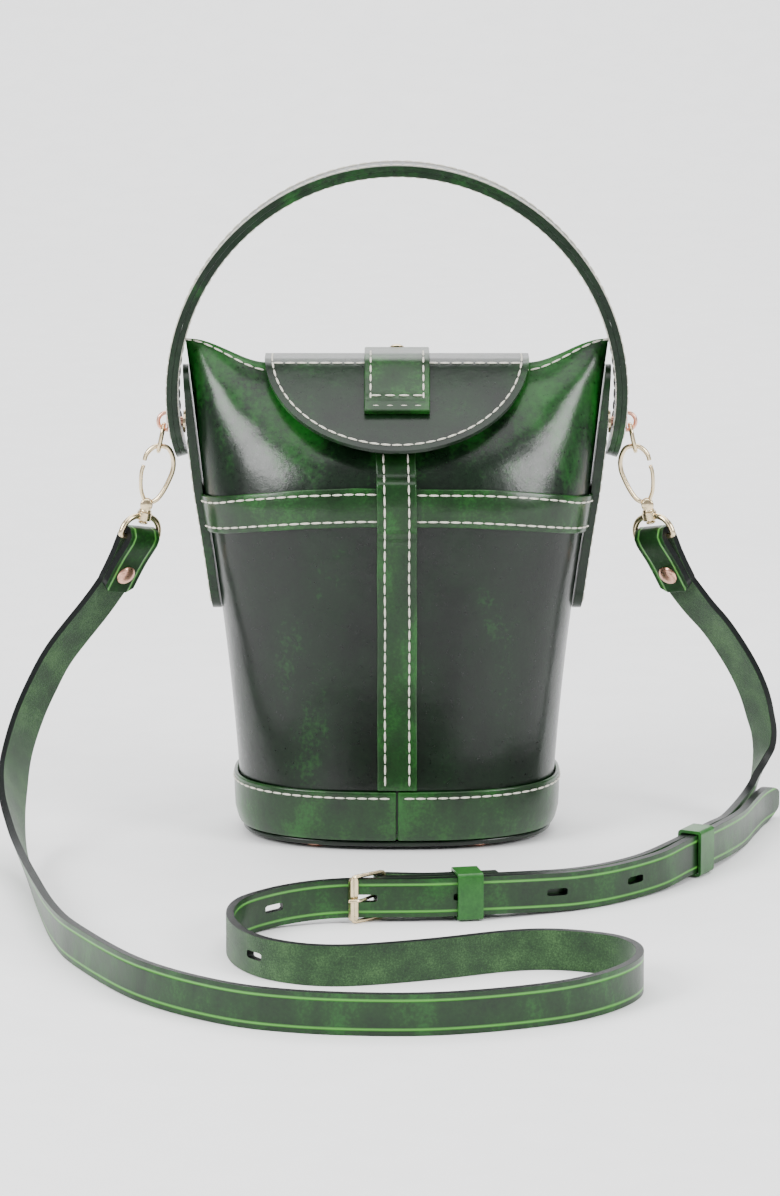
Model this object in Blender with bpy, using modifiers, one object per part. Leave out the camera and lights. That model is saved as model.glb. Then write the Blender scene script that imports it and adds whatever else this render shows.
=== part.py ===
"""Bucket bag: moulded leather body, folding flap, swinging handle and a clip-on shoulder strap.

The origin is on the floor under the middle of the base. X runs left to right, Y front to back,
Z up. Every length below is in millimetres and becomes metres when a mesh is made.
"""

import math

import bmesh
import bpy
from mathutils import Matrix, Vector

MM = 0.001
FRONT = -1
BACK = 1
LEFT = -1
RIGHT = 1

# body shell
SHELL_FLOOR = 4.9
CREASE_Z = 150.0
FOLD_LEVELS = 100.0
SQUARENESS = 2.5
SHELL_COLUMNS = 16
HALF_WIDTHS = ((4.9, 66.0), (12.0, 68.6), (27.0, 69.0), (56.0, 71.4), (97.0, 75.8), (125.0, 79.6), (150.0, 83.5))
HALF_DEPTHS = ((4.9, 46.5), (12.0, 49.3), (27.0, 50.0), (150.0, 48.5))
EAR_HALF_WIDTH = 91.5
EAR_Z = 216.0
MOUTH_Z = 205.0
MOUTH_HALF_DEPTH = 8.0
MOUTH_FLAT_HALF = 56.0
RIDGE_Z = 168.5
RIDGE_HALF_DEPTH = 48.0
PANEL = 2.2
SEAM = 0.2
FIT = 0.4
LINING = 1.0
WALL_LEVELS = (4.9, 8.5, 13.0, 27.0, 62.0, 97.0, 125.0, 150.0)
FOLD_SHARES = (14.0, 28.0, 40.0, 50.0, 60.0, 72.0, 86.0, 100.0)

# bands and strips on the shell
BAND_WIDTH = 16.0
BAND_THICK = 2.0
BAND_DROP = 8.0
CENTER_STRAP_WIDTH = 17.0
BASE_BAND_TOP = 27.0
BASE_BAND_THICK = 2.0
STRIP_HALF = 10.0
STRIP_Z = (98.0, 205.0)

# flap, tab and hinge
FLAP_HALF = 57.0
FLAP_STRAIGHT = 14.0
FLAP_REAR_Y = 8.5
FLAP_UNDER_Z = 205.8
FLAP_LEVEL = 19.0
FLAP_SLOPE = math.radians(38.5)
FLAP_LINING = 0.8
FLAP_THICK = 1.8
TAB_HALF = 14.0
TAB_LENGTH = 50.0
TAB_THICK = 2.0
FLAP_HINGE = (0.0, 10.0, 210.8)

# handle
HANDLE_PIVOT_Z = 180.0
HANDLE_RADIUS = 97.0
HANDLE_CENTER_Z = 192.5
HANDLE_TUCK = 0.0055
HANDLE_END_Z = 165.0
HANDLE_HALF = 11.0
HANDLE_PLY = 2.3
STUD_RADIUS = 2.0
STUD_HOLE = 2.3

# strap hardware, right side; the left side is its mirror image
LINK_TOP = (100.9, 0.0, 178.6)
LINK_BOTTOM = (103.4, 0.0, 166.9)
HOOK_PIVOT = (108.8, 0.0, 143.4)
SWIVEL_AXIS = (0.206, 0.0, -0.978)
RING_TOP = (109.9, 0.0, 138.4)
RING_DOWN = (0.25, 0.0, -0.968)
RING_BAR = (0.72, -0.66, 0.21)
FOLD_DOWN = (0.45, 0.21, -0.87)
RING_HEIGHT = 9.6
RING_HALF = 10.3
RING_WIRE = 1.3
HOOK_WIRE = 1.2
FOLD_LENGTH = 27.0

# shoulder strap
STRAP_HALF = 8.0
STRAP_THICK = 3.2
PLY_NEAR = STRAP_THICK / 2.0 + 0.2
PLY_STEP = 3.9
SLOT_HALF_LENGTH = 4.5
SLOT_HALF_WIDTH = 1.5
SLOT_PITCH = 40.0
STATION = 15.0
STRAIGHT_START = 4.0
STRAP_GAP = 1.8
FLOOR_CLEARANCE = 0.05
HEEL_BAR = (-5.5, -161.6)
OUTER_BAR = (-18.2, -172.0)

# route of the long strap after its folded end: centre x, y, z, then the direction from its lower to its upper edge
LONG_ROUTE = (
    (-132.2, 6.2, 96.4, -0.64, -0.69, 0.33),
    (-147.0, 0.0, 78.2, -0.56, -0.70, 0.50),
    (-154.5, -6.0, 65.3, -0.60, -0.71, 0.46),
    (-160.2, -13.0, 53.0, -0.60, -0.74, 0.42),
    (-163.9, -24.0, 41.7, -0.54, -0.80, 0.32),
    (-165.4, -38.0, 31.5, -0.49, -0.84, 0.25),
    (-164.7, -57.0, 22.2, -0.33, -0.84, 0.35),
    (-161.3, -80.0, 14.2, -0.26, -0.60, 0.70),
    (-156.0, -106.0, 9.4, -0.28, -0.34, 0.90),
    (-147.4, -153.0, 8.4, -0.20, -0.12, 0.97),
    (-136.8, -204.0, 8.1, -0.10, 0.05, 0.99),
    (-124.7, -239.0, 8.1, -0.04, 0.12, 0.99),
    (-98.7, -288.0, 8.1, 0.0, 0.10, 1.0),
    (-67.0, -319.5, 8.1, 0.0, 0.04, 1.0),
    (-36.7, -332.9, 8.1, 0.0, 0.0, 1.0),
    (0.7, -337.0, 8.1, 0.0, 0.0, 1.0),
    (30.0, -332.5, 8.1, 0.0, 0.0, 1.0),
    (61.0, -320.0, 8.1, 0.0, 0.0, 1.0),
    (80.0, -304.0, 8.1, 0.0, 0.0, 1.0),
    (91.3, -285.0, 8.1, 0.0, 0.0, 1.0),
    (93.0, -267.0, 8.1, 0.0, 0.0, 1.0),
    (86.0, -252.5, 8.1, 0.0, 0.0, 1.0),
    (71.0, -244.3, 8.1, 0.0, 0.0, 1.0),
    (55.8, -242.0, 8.1, 0.0, 0.0, 1.0),
    (40.1, -245.5, 8.1, 0.0, 0.0, 1.0),
    (16.5, -255.7, 8.1, 0.0, 0.0, 1.0),
    (-6.9, -263.6, 8.1, 0.0, 0.0, 1.0),
    (-24.0, -266.6, 8.1, 0.0, 0.0, 1.0),
    (-39.0, -263.5, 8.1, 0.0, 0.0, 1.0),
    (-53.0, -253.5, 8.1, 0.0, 0.0, 1.0),
    (-62.5, -237.0, 8.1, 0.0, 0.0, 1.0),
    (-66.6, -215.0, 8.1, 0.0, 0.0, 1.0),
    (-63.3, -193.5, 8.1, 0.0, 0.0, 1.0),
    (-52.0, -179.5, 8.6, 0.0, 0.0, 1.0),
    (-38.0, -172.5, 9.6, 0.0, 0.0, 1.0),
    (-23.0, -169.2, 10.2, 0.0, 0.0, 1.0),
    (-5.0, -168.2, 10.2, 0.0, 0.0, 1.0),
    (15.0, -167.3, 10.2, 0.0, 0.0, 1.0),
    (36.0, -163.7, 10.2, 0.0, 0.0, 1.0),
    (58.4, -155.5, 9.2, 0.0, 0.0, 1.0),
    (75.0, -148.0, 8.6, 0.0, 0.0, 1.0),
    (92.0, -135.4, 8.4, 0.0, 0.0, 1.0),
    (109.5, -117.4, 8.9, 0.0, 0.0, 1.0),
    (121.5, -99.5, 10.2, 0.0, 0.0, 1.0),
    (132.3, -80.0, 10.2, 0.0, 0.0, 1.0),
    (141.5, -59.5, 9.4, 0.0, 0.0, 1.0),
    (149.0, -37.8, 8.2, 0.0, 0.0, 1.0),
    (155.4, -15.0, 8.1, 0.0, 0.0, 1.0),
    (161.0, 3.5, 8.1, 0.0, 0.0, 1.0),
    (168.2, 19.4, 8.1, 0.0, 0.0, 1.0),
)

# route of the short strap after its folded end, to where it joins the long strap's run
SHORT_ROUTE = (
    (132.0, 7.0, 97.2, 0.66, -0.68, 0.30),
    (141.0, 8.0, 86.6, 0.60, -0.71, 0.35),
    (150.7, 9.0, 71.6, 0.60, -0.72, 0.33),
    (156.9, 10.5, 58.5, 0.60, -0.75, 0.30),
    (160.2, 12.0, 46.8, 0.55, -0.80, 0.25),
    (162.0, 13.0, 37.4, 0.45, -0.85, 0.25),
    (161.0, 11.5, 28.0, 0.30, -0.75, 0.55),
    (157.0, 4.0, 17.5, 0.18, -0.35, 0.92),
    (152.4, -9.0, 10.4, 0.08, -0.12, 0.99),
)
SHORT_JOIN_X = 145.5
FOLD_BACK_X = 43.0


def clear_scene():
    """Remove the start-up objects."""
    for item in list(bpy.data.objects):
        bpy.data.objects.remove(item, do_unlink=True)


clear_scene()
PARTS = bpy.data.collections.new("bucket_bag")
CUTTERS = bpy.data.collections.new("cutters")
bpy.context.scene.collection.children.link(PARTS)
bpy.context.scene.collection.children.link(CUTTERS)


def make_material(name, color, metallic, roughness):
    """Make one plain Principled material."""
    material = bpy.data.materials.new(name)
    material.use_nodes = True
    shader = material.node_tree.nodes["Principled BSDF"]
    shader.inputs["Base Color"].default_value = (*color, 1.0)
    shader.inputs["Metallic"].default_value = metallic
    shader.inputs["Roughness"].default_value = roughness
    return material


BRIDLE = make_material("bridle_leather", (0.010, 0.040, 0.024), 0.0, 0.25)
STRAP_HIDE = make_material("strap_leather", (0.016, 0.060, 0.036), 0.0, 0.40)
LINING_HIDE = make_material("lining_leather", (0.020, 0.050, 0.034), 0.0, 0.70)
BOARD = make_material("base_board", (0.120, 0.090, 0.060), 0.0, 0.90)
GOLD = make_material("light_gold", (0.800, 0.640, 0.380), 1.0, 0.25)
COPPER = make_material("copper", (0.750, 0.380, 0.260), 1.0, 0.30)
STEEL = make_material("magnet_steel", (0.500, 0.500, 0.500), 1.0, 0.35)


# ---------------------------------------------------------------- general helpers

def lookup(table, value):
    """Read a value from a table of (position, value) pairs with straight lines between them."""
    if value <= table[0][0]:
        return table[0][1]
    for (low, first), (high, second) in zip(table, table[1:]):
        if value <= high:
            return first + (second - first) * (value - low) / (high - low)
    return table[-1][1]


def ease(share):
    """Go from 0 to 1 with level ends."""
    share = min(max(share, 0.0), 1.0)
    return share * share * (3.0 - 2.0 * share)


def mirrored(values, side):
    """Take a right-side point or direction to the wanted side."""
    return Vector((side * values[0], values[1], values[2]))


def link_object(name, mesh, material, origin=(0.0, 0.0, 0.0), cutter=False):
    """Wrap a mesh whose vertices are in millimetres around its own origin."""
    mesh.transform(Matrix.Scale(MM, 4))
    item = bpy.data.objects.new(name, mesh)
    item.location = Vector(origin) * MM
    mesh.materials.append(material)
    if cutter:
        CUTTERS.objects.link(item)
        item.hide_render = True
        item.display_type = "WIRE"
    else:
        PARTS.objects.link(item)
    return item


def face_outward(work):
    """Turn every face of a closed body outward."""
    bmesh.ops.recalc_face_normals(work, faces=work.faces)
    if work.calc_volume(signed=True) < 0.0:
        bmesh.ops.reverse_faces(work, faces=work.faces)


def tidy_mesh(mesh, weld=0.0):
    """Weld loose caps and turn every face outward."""
    work = bmesh.new()
    work.from_mesh(mesh)
    if weld > 0.0:
        bmesh.ops.remove_doubles(work, verts=work.verts, dist=weld)
    face_outward(work)
    work.to_mesh(mesh)
    work.free()


def sheet(name, rows, thickness, outward, material, grow=-1.0, origin=(0.0, 0.0, 0.0), skip=None):
    """Loft rows of points into a sheet and thicken it.

    The face normals follow `outward` at the sheet's middle. `grow` is -1 to thicken behind the
    face, 1 in front of it and 0 to both sides. `skip(row, column)` leaves out a quad.
    """
    origin = Vector(origin)
    middle_row = len(rows) // 2
    middle = len(rows[0]) // 2
    along = rows[middle_row][middle] - rows[middle_row - 1][middle]
    across = rows[middle_row][middle] - rows[middle_row][middle - 1]
    flip = along.cross(across).dot(Vector(outward)) < 0.0
    mesh = bpy.data.meshes.new(name)
    count = len(rows[0])
    points = [tuple(point - origin) for row in rows for point in row]
    faces = []
    for row in range(len(rows) - 1):
        for column in range(count - 1):
            if skip and skip(row, column):
                continue
            corner = row * count + column
            quad = (corner, corner + count, corner + count + 1, corner + 1)
            faces.append(quad[::-1] if flip else quad)
    mesh.from_pydata(points, [], faces)
    item = link_object(name, mesh, material, origin)
    thicken = item.modifiers.new("thickness", "SOLIDIFY")
    thicken.thickness = thickness * MM
    thicken.offset = grow
    thicken.use_even_offset = False
    return item


def double_sheet(name, outer, inner, material):
    """Loft a closed shell between an outer and an inner grid of points."""
    mesh = bpy.data.meshes.new(name)
    work = bmesh.new()
    grids = [[[work.verts.new(point) for point in row] for row in rows] for rows in (outer, inner)]
    for grid in grids:
        for row, after in zip(grid, grid[1:]):
            for index in range(len(row) - 1):
                work.faces.new((row[index], row[index + 1], after[index + 1], after[index]))
    face, back = grids
    for row in (0, -1):
        for index in range(len(face[0]) - 1):
            work.faces.new((face[row][index], face[row][index + 1], back[row][index + 1], back[row][index]))
    for column in (0, -1):
        for index in range(len(face) - 1):
            work.faces.new((face[index][column], face[index + 1][column],
                            back[index + 1][column], back[index][column]))
    face_outward(work)
    work.to_mesh(mesh)
    work.free()
    return link_object(name, mesh, material)


def wire_mesh(name, points, radius, closed=False, resolution=2):
    """Turn a poly line into a round wire mesh, in millimetres."""
    curve = bpy.data.curves.new(name, "CURVE")
    curve.dimensions = "3D"
    curve.bevel_depth = radius
    curve.bevel_resolution = resolution
    curve.use_fill_caps = not closed
    spline = curve.splines.new("POLY")
    spline.points.add(len(points) - 1)
    for knot, point in zip(spline.points, points):
        knot.co = (*point, 1.0)
    spline.use_cyclic_u = closed
    return mesh_from_curve(name, curve)


def mesh_from_curve(name, curve):
    """Convert a curve into a welded mesh and drop the curve."""
    holder = bpy.data.objects.new(name + "_curve", curve)
    bpy.context.scene.collection.objects.link(holder)
    bpy.context.view_layer.update()
    mesh = bpy.data.meshes.new_from_object(holder.evaluated_get(bpy.context.evaluated_depsgraph_get()))
    bpy.data.objects.remove(holder, do_unlink=True)
    tidy_mesh(mesh, weld=1e-3)
    mesh.materials.clear()
    mesh.name = name
    return mesh


def wire(name, points, radius, material, origin=(0.0, 0.0, 0.0), closed=False, resolution=2, cutter=False):
    """Make a round wire object through points given in bag coordinates."""
    origin = Vector(origin)
    local = [Vector(point) - origin for point in points]
    return link_object(name, wire_mesh(name, local, radius, closed, resolution), material, origin, cutter)


def loop_frame(name, outer, inner, depth, spin, center, material, origin=None):
    """Extrude a flat frame, given as outer and inner outlines, around its own centre.

    `spin` is a 3x3 rotation taking the drawing's x, y and thickness directions to bag directions.
    """
    curve = bpy.data.curves.new(name, "CURVE")
    curve.dimensions = "2D"
    curve.fill_mode = "BOTH"
    curve.extrude = depth / 2.0
    for outline in (outer, inner):
        spline = curve.splines.new("POLY")
        spline.points.add(len(outline) - 1)
        for knot, (x, y) in zip(spline.points, outline):
            knot.co = (x, y, 0.0, 1.0)
        spline.use_cyclic_u = True
    mesh = mesh_from_curve(name, curve)
    center = Vector(center)
    origin = center if origin is None else Vector(origin)
    mesh.transform(Matrix.Translation(center - origin) @ spin.to_4x4())
    return link_object(name, mesh, material, origin)


def turned(name, profile, origin, axis, material, steps=16, cutter=False):
    """Turn a profile of (radius, height) about an axis; it runs top to bottom on its outer side."""
    mesh = bpy.data.meshes.new(name)
    edges = [(index, index + 1) for index in range(len(profile) - 1)]
    if profile[0][0] > 0.0:
        edges.append((len(profile) - 1, 0))
    mesh.from_pydata([(radius, 0.0, height) for radius, height in profile], edges, [])
    item = link_object(name, mesh, material, origin, cutter)
    item.rotation_mode = "QUATERNION"
    item.rotation_quaternion = Vector((0.0, 0.0, 1.0)).rotation_difference(Vector(axis).normalized())
    screw = item.modifiers.new("turn", "SCREW")
    screw.axis = "Z"
    screw.steps = steps
    screw.render_steps = steps
    screw.use_merge_vertices = True
    screw.merge_threshold = 1e-6
    return item


def combine(item, other, operation):
    """Add a live exact Boolean of another object."""
    modifier = item.modifiers.new(operation.lower(), "BOOLEAN")
    modifier.operation = operation
    modifier.solver = "EXACT"
    modifier.object = other
    return item


def smooth(points, spans):
    """Put a Catmull-Rom curve through points of any dimension, `spans` pieces per gap."""
    result = []
    padded = [points[0]] + list(points) + [points[-1]]
    for index in range(1, len(padded) - 2):
        before, start, end, after = padded[index - 1:index + 3]
        for step in range(spans):
            share = step / spans
            result.append(tuple(
                0.5 * (2.0 * b + (c - a) * share + (2.0 * a - 5.0 * b + 4.0 * c - d) * share ** 2
                       + (3.0 * b - 3.0 * c + d - a) * share ** 3)
                for a, b, c, d in zip(before, start, end, after)))
    result.append(tuple(points[-1]))
    return result


# ---------------------------------------------------------------- shell surface

def half_width(height):
    """Half width of the shell's outer face."""
    if height <= CREASE_Z:
        return lookup(HALF_WIDTHS, height)
    slope = 0.1154
    return HALF_WIDTHS[-1][1] + slope * (height - CREASE_Z)


def half_depth(height):
    """Half depth of the shell's outer face below the crease."""
    return lookup(HALF_DEPTHS, height)


def shell_point(angle, level, side, seam=SEAM):
    """Point of the shell's outer face.

    `angle` runs from 0 at the right seam to pi at the left one. `level` is the height up to the
    crease; the next FOLD_LEVELS units run from the crease over the ridge to the mouth.
    """
    power = 2.0 / SQUARENESS
    cosine = math.cos(angle)
    across = math.copysign(abs(cosine) ** power, cosine)
    inward = max(math.sin(angle), 0.0) ** power
    base = min(level, CREASE_Z)
    depth = seam + (half_depth(base) - seam) * inward
    wall = Vector((half_width(base) * across, side * depth, base))
    if level <= CREASE_Z:
        return wall
    share = (level - CREASE_Z) / FOLD_LEVELS
    reach = abs(across)
    ridge_depth = seam + RIDGE_HALF_DEPTH * max(1.0 - reach ** 2.2, 0.0) ** 0.9
    ridge = Vector((
        (EAR_HALF_WIDTH - 0.5) * across,
        side * ridge_depth,
        RIDGE_Z + (EAR_Z - 1.0 - RIDGE_Z) * reach ** 2.3))
    mouth_x = EAR_HALF_WIDTH * across
    rise = ease((abs(mouth_x) - MOUTH_FLAT_HALF) / (EAR_HALF_WIDTH - 1.5 - MOUTH_FLAT_HALF))
    mouth = Vector((
        mouth_x,
        side * (seam + MOUTH_HALF_DEPTH * (1.0 - across * across)),
        MOUTH_Z + (EAR_Z - MOUTH_Z) * rise))
    lower = wall.lerp(ridge, 0.8)
    upper = mouth.lerp(ridge, 0.8)
    rest = 1.0 - share
    return (rest ** 3 * wall + 3.0 * rest ** 2 * share * lower
            + 3.0 * rest * share ** 2 * upper + share ** 3 * mouth)


def shell_normal(angle, level, side, seam=SEAM):
    """Outward normal of the shell."""
    turn = 0.03
    climb = 0.6
    top = CREASE_Z + FOLD_LEVELS
    around = (shell_point(min(angle + turn, math.pi), level, side, seam)
              - shell_point(max(angle - turn, 0.0), level, side, seam))
    upward = (shell_point(angle, min(level + climb, top), side, seam)
              - shell_point(angle, max(level - climb, SHELL_FLOOR), side, seam))
    return around.cross(upward).normalized() * side


def shell_at(angle, level, side, lift, seam=SEAM):
    """Point a given distance outside the shell's outer face."""
    return shell_point(angle, level, side, seam) + shell_normal(angle, level, side, seam) * lift


def shell_rows(columns, levels, side, lift):
    """Grid of points a given distance outside the shell, kept on their own side of the seam."""
    rows = []
    for level in levels:
        row = [shell_at(angle, level, side, lift) for angle in columns]
        for point in row:
            point.y = side * max(side * point.y, SEAM)
        rows.append(row)
    return rows


def level_at_height(angle, height, side):
    """Find the level that reaches a height on one column."""
    if height <= CREASE_Z:
        return height
    low = CREASE_Z
    high = CREASE_Z + FOLD_LEVELS
    for _ in range(30):
        middle = (low + high) / 2.0
        if shell_point(angle, middle, side).z < height:
            low = middle
        else:
            high = middle
    return (low + high) / 2.0


def column_angles(first=0.0, last=math.pi, count=SHELL_COLUMNS):
    """List the shell's column angles between two limits, limits included."""
    step = math.pi / count
    inner = [index * step for index in range(count + 1) if first + 0.01 < index * step < last - 0.01]
    return [first] + inner + [last]


def outline(half_x, half_y, count):
    """List a closed superellipse outline."""
    power = 2.0 / SQUARENESS
    points = []
    for index in range(count):
        angle = 2.0 * math.pi * index / count
        cosine = math.cos(angle)
        sine = math.sin(angle)
        points.append((
            math.copysign(half_x * abs(cosine) ** power, cosine),
            math.copysign(half_y * abs(sine) ** power, sine)))
    return points


def plate(name, half_x, half_y, bottom, top, material):
    """Extrude a superellipse plate."""
    mesh = bpy.data.meshes.new(name)
    work = bmesh.new()
    ring = [work.verts.new((x, y, bottom)) for x, y in outline(half_x, half_y, 2 * SHELL_COLUMNS)]
    face = work.faces.new(ring)
    grown = bmesh.ops.extrude_face_region(work, geom=[face])
    raised = [part for part in grown["geom"] if isinstance(part, bmesh.types.BMVert)]
    bmesh.ops.translate(work, verts=raised, vec=(0.0, 0.0, top - bottom))
    face_outward(work)
    work.to_mesh(mesh)
    work.free()
    return link_object(name, mesh, material)


# ---------------------------------------------------------------- body

def build_shell():
    """Build the two panels, the lining, the pocket, the board, the sole and the feet."""
    levels = list(WALL_LEVELS) + [CREASE_Z + share for share in FOLD_SHARES]
    for side, word in ((FRONT, "front"), (BACK, "back")):
        columns = column_angles()
        outer, inner = shell_rows(columns, levels, side, 0.0), shell_rows(columns, levels, side, -PANEL)
        double_sheet(word + "_panel", outer, inner, BRIDLE)
        lining_levels = [8.2] + levels[2:-1] + [CREASE_Z + 94.0]
        outer = shell_rows(columns, lining_levels, side, -PANEL - FIT)
        inner = shell_rows(columns, lining_levels, side, -PANEL - FIT - LINING)
        double_sheet("lining_" + word, outer, inner, LINING_HIDE)
    pocket_angles = column_angles(math.radians(56.25), math.radians(123.75))
    pocket_depth = PANEL + LINING + 2.0 * FIT
    rows = [[shell_at(angle, level, BACK, -pocket_depth) for angle in pocket_angles]
            for level in (52.0, 75.0, 97.0, 118.0)]
    sheet("inner_pocket", rows, 0.8, (0.0, BACK, 0.0), LINING_HIDE)
    plate("base_board", 62.8, 43.4, 5.2, 7.4, BOARD)
    plate("base_sole", 67.5, 47.5, 1.9, 4.5, BRIDLE)
    for number, (x, y) in enumerate(((-35.0, -34.0), (35.0, -34.0), (-35.0, 34.0), (35.0, 34.0)), 1):
        profile = [(0.0, 1.6), (4.5, 1.6), (4.5, 0.7), (3.4, 0.0), (0.0, 0.0)]
        turned(f"foot_stud_{number}", profile, (x, y, 0.0), (0.0, 0.0, 1.0), COPPER, steps=14)


def build_base_band():
    """Build the band round the base, with its butt seam at the front middle."""
    seam_angle = 0.0012
    quarter = math.pi / 2.0
    right = [angle for angle in column_angles() if angle < quarter - 0.01]
    stations = [(quarter - seam_angle, FRONT)] + [(angle, FRONT) for angle in reversed(right)]
    stations += [(angle, BACK) for angle in column_angles()[1:-1]]
    stations += [(math.pi - angle, FRONT) for angle in right] + [(quarter + seam_angle, FRONT)]
    rows = []
    for level in (5.8, 8.5, 13.0, 20.0, BASE_BAND_TOP):
        row = []
        for angle, side in stations:
            seam = 0.0 if angle in (0.0, math.pi) else SEAM
            row.append(shell_at(angle, level, side, FIT, seam))
        rows.append(row)
    sheet("base_band", rows, BASE_BAND_THICK, (0.0, BACK, 0.0), BRIDLE, grow=1.0)


def build_bands():
    """Build the cross bands and the centre straps on both faces."""
    edge = math.radians(9.4)
    for side, word in ((FRONT, "front"), (BACK, "back")):
        rows = []
        for shift in (-1.0, -0.33, 0.33, 1.0):
            row = []
            for angle in column_angles(edge, math.pi - edge):
                reach = abs(math.cos(angle)) ** (2.0 / SQUARENESS)
                height = CREASE_Z - BAND_DROP * reach ** 2.5 + shift * BAND_WIDTH / 2.0
                row.append(shell_at(angle, level_at_height(angle, height, side), side, FIT))
            rows.append(row)
        sheet("cross_band_" + word, rows, BAND_THICK, (0.0, side, 0.0), BRIDLE, grow=1.0)
        middle = math.pi / 2.0
        over = BAND_THICK + 2.0 * FIT
        stations = [(27.6, FIT), (50.0, FIT), (80.0, FIT), (110.0, FIT), (135.0, FIT), (140.6, over)]
        stations += [(149.0, over)]
        stations += [(level_at_height(middle, 159.4, side), over)]
        stations += [(CREASE_Z + 37.0, FIT), (CREASE_Z + 46.0, FIT), (CREASE_Z + 54.0, FIT), (CREASE_Z + 60.0, FIT)]
        rows = []
        for level, lift in stations:
            center = shell_at(middle, level, side, lift)
            rows.append([center + Vector((x, 0.0, 0.0)) for x in (-CENTER_STRAP_WIDTH / 2, 0.0, CENTER_STRAP_WIDTH / 2)])
        sheet("center_strap_" + word, rows, BAND_THICK, (0.0, side, 0.0), BRIDLE, grow=1.0)


def rounded_share(distance, half):
    """Half width of a round-ended strip at a distance from its end."""
    if distance >= half:
        return half
    return math.sqrt(half * half - (half - distance) ** 2)


def build_side_strips():
    """Build the strip riveted on each side seam, thinner toward its top."""
    bottom, top = STRIP_Z
    heights = [bottom + 0.7, bottom + 2.5, bottom + 5.5, bottom + 10.0, 125.0, 150.0, 168.0, 180.0]
    heights += [top - 10.0, top - 5.5, top - 2.5, top - 0.7]
    thick = ((98.0, 3.8), (176.0, 3.9), (192.0, 2.9), (206.0, 2.3))
    for side, word in ((LEFT, "left"), (RIGHT, "right")):
        rows = []
        for face in (0.0, 1.0):
            for height in heights if face == 0.0 else reversed(heights):
                half = rounded_share(min(height - bottom, top - height), STRIP_HALF)
                x = half_width(height) + FIT + face * lookup(thick, height)
                rows.append([Vector((side * x, y, height)) for y in (-half, 0.0, half)])
        loft_closed("side_strip_" + word, rows, BRIDLE)


def loft_closed(name, rows, material, origin=(0.0, 0.0, 0.0)):
    """Loft a loop of rows into a flat tube and close its two long sides."""
    origin = Vector(origin)
    mesh = bpy.data.meshes.new(name)
    work = bmesh.new()
    grid = [[work.verts.new(point - origin) for point in row] for row in rows]
    for row, after in zip(grid, grid[1:] + grid[:1]):
        for index in range(len(row) - 1):
            work.faces.new((row[index], row[index + 1], after[index + 1], after[index]))
    half = len(grid) // 2
    for index in range(half - 1):
        mate = len(grid) - 1 - index
        for column in (0, -1):
            work.faces.new((grid[index][column], grid[index + 1][column],
                            grid[mate - 1][column], grid[mate][column]))
    face_outward(work)
    work.to_mesh(mesh)
    work.free()
    return link_object(name, mesh, material, origin)


# ---------------------------------------------------------------- flap

def flap_profile(distance):
    """Height line of the flap's underside: depth and height at a distance from its rear edge."""
    bend = 6.0
    start = FLAP_LEVEL - bend / 2.0
    if distance <= start:
        return FLAP_REAR_Y - distance, FLAP_UNDER_Z
    y = FLAP_REAR_Y - start
    z = FLAP_UNDER_Z
    pieces = 24
    step = (distance - start) / pieces
    for index in range(pieces):
        along = (index + 0.5) * step
        slope = FLAP_SLOPE * min(along / bend, 1.0)
        y -= step * math.cos(slope)
        z -= step * math.sin(slope)
    return y, z


def flap_point(x, distance, lift):
    """Point above the flap's underside."""
    y, z = flap_profile(distance)
    bend = 6.0
    slope = FLAP_SLOPE * min(max((distance - FLAP_LEVEL + bend / 2.0) / bend, 0.0), 1.0)
    return Vector((x, y - lift * math.sin(slope), z + lift * math.cos(slope)))


def flap_half(distance, inset=0.0):
    """Half width of the flap's outline at a distance from its rear edge."""
    half = FLAP_HALF - inset
    if distance <= FLAP_STRAIGHT:
        return half
    share = min((distance - FLAP_STRAIGHT) / half, 0.9965)
    return half * math.sqrt(1.0 - share * share)


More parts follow.
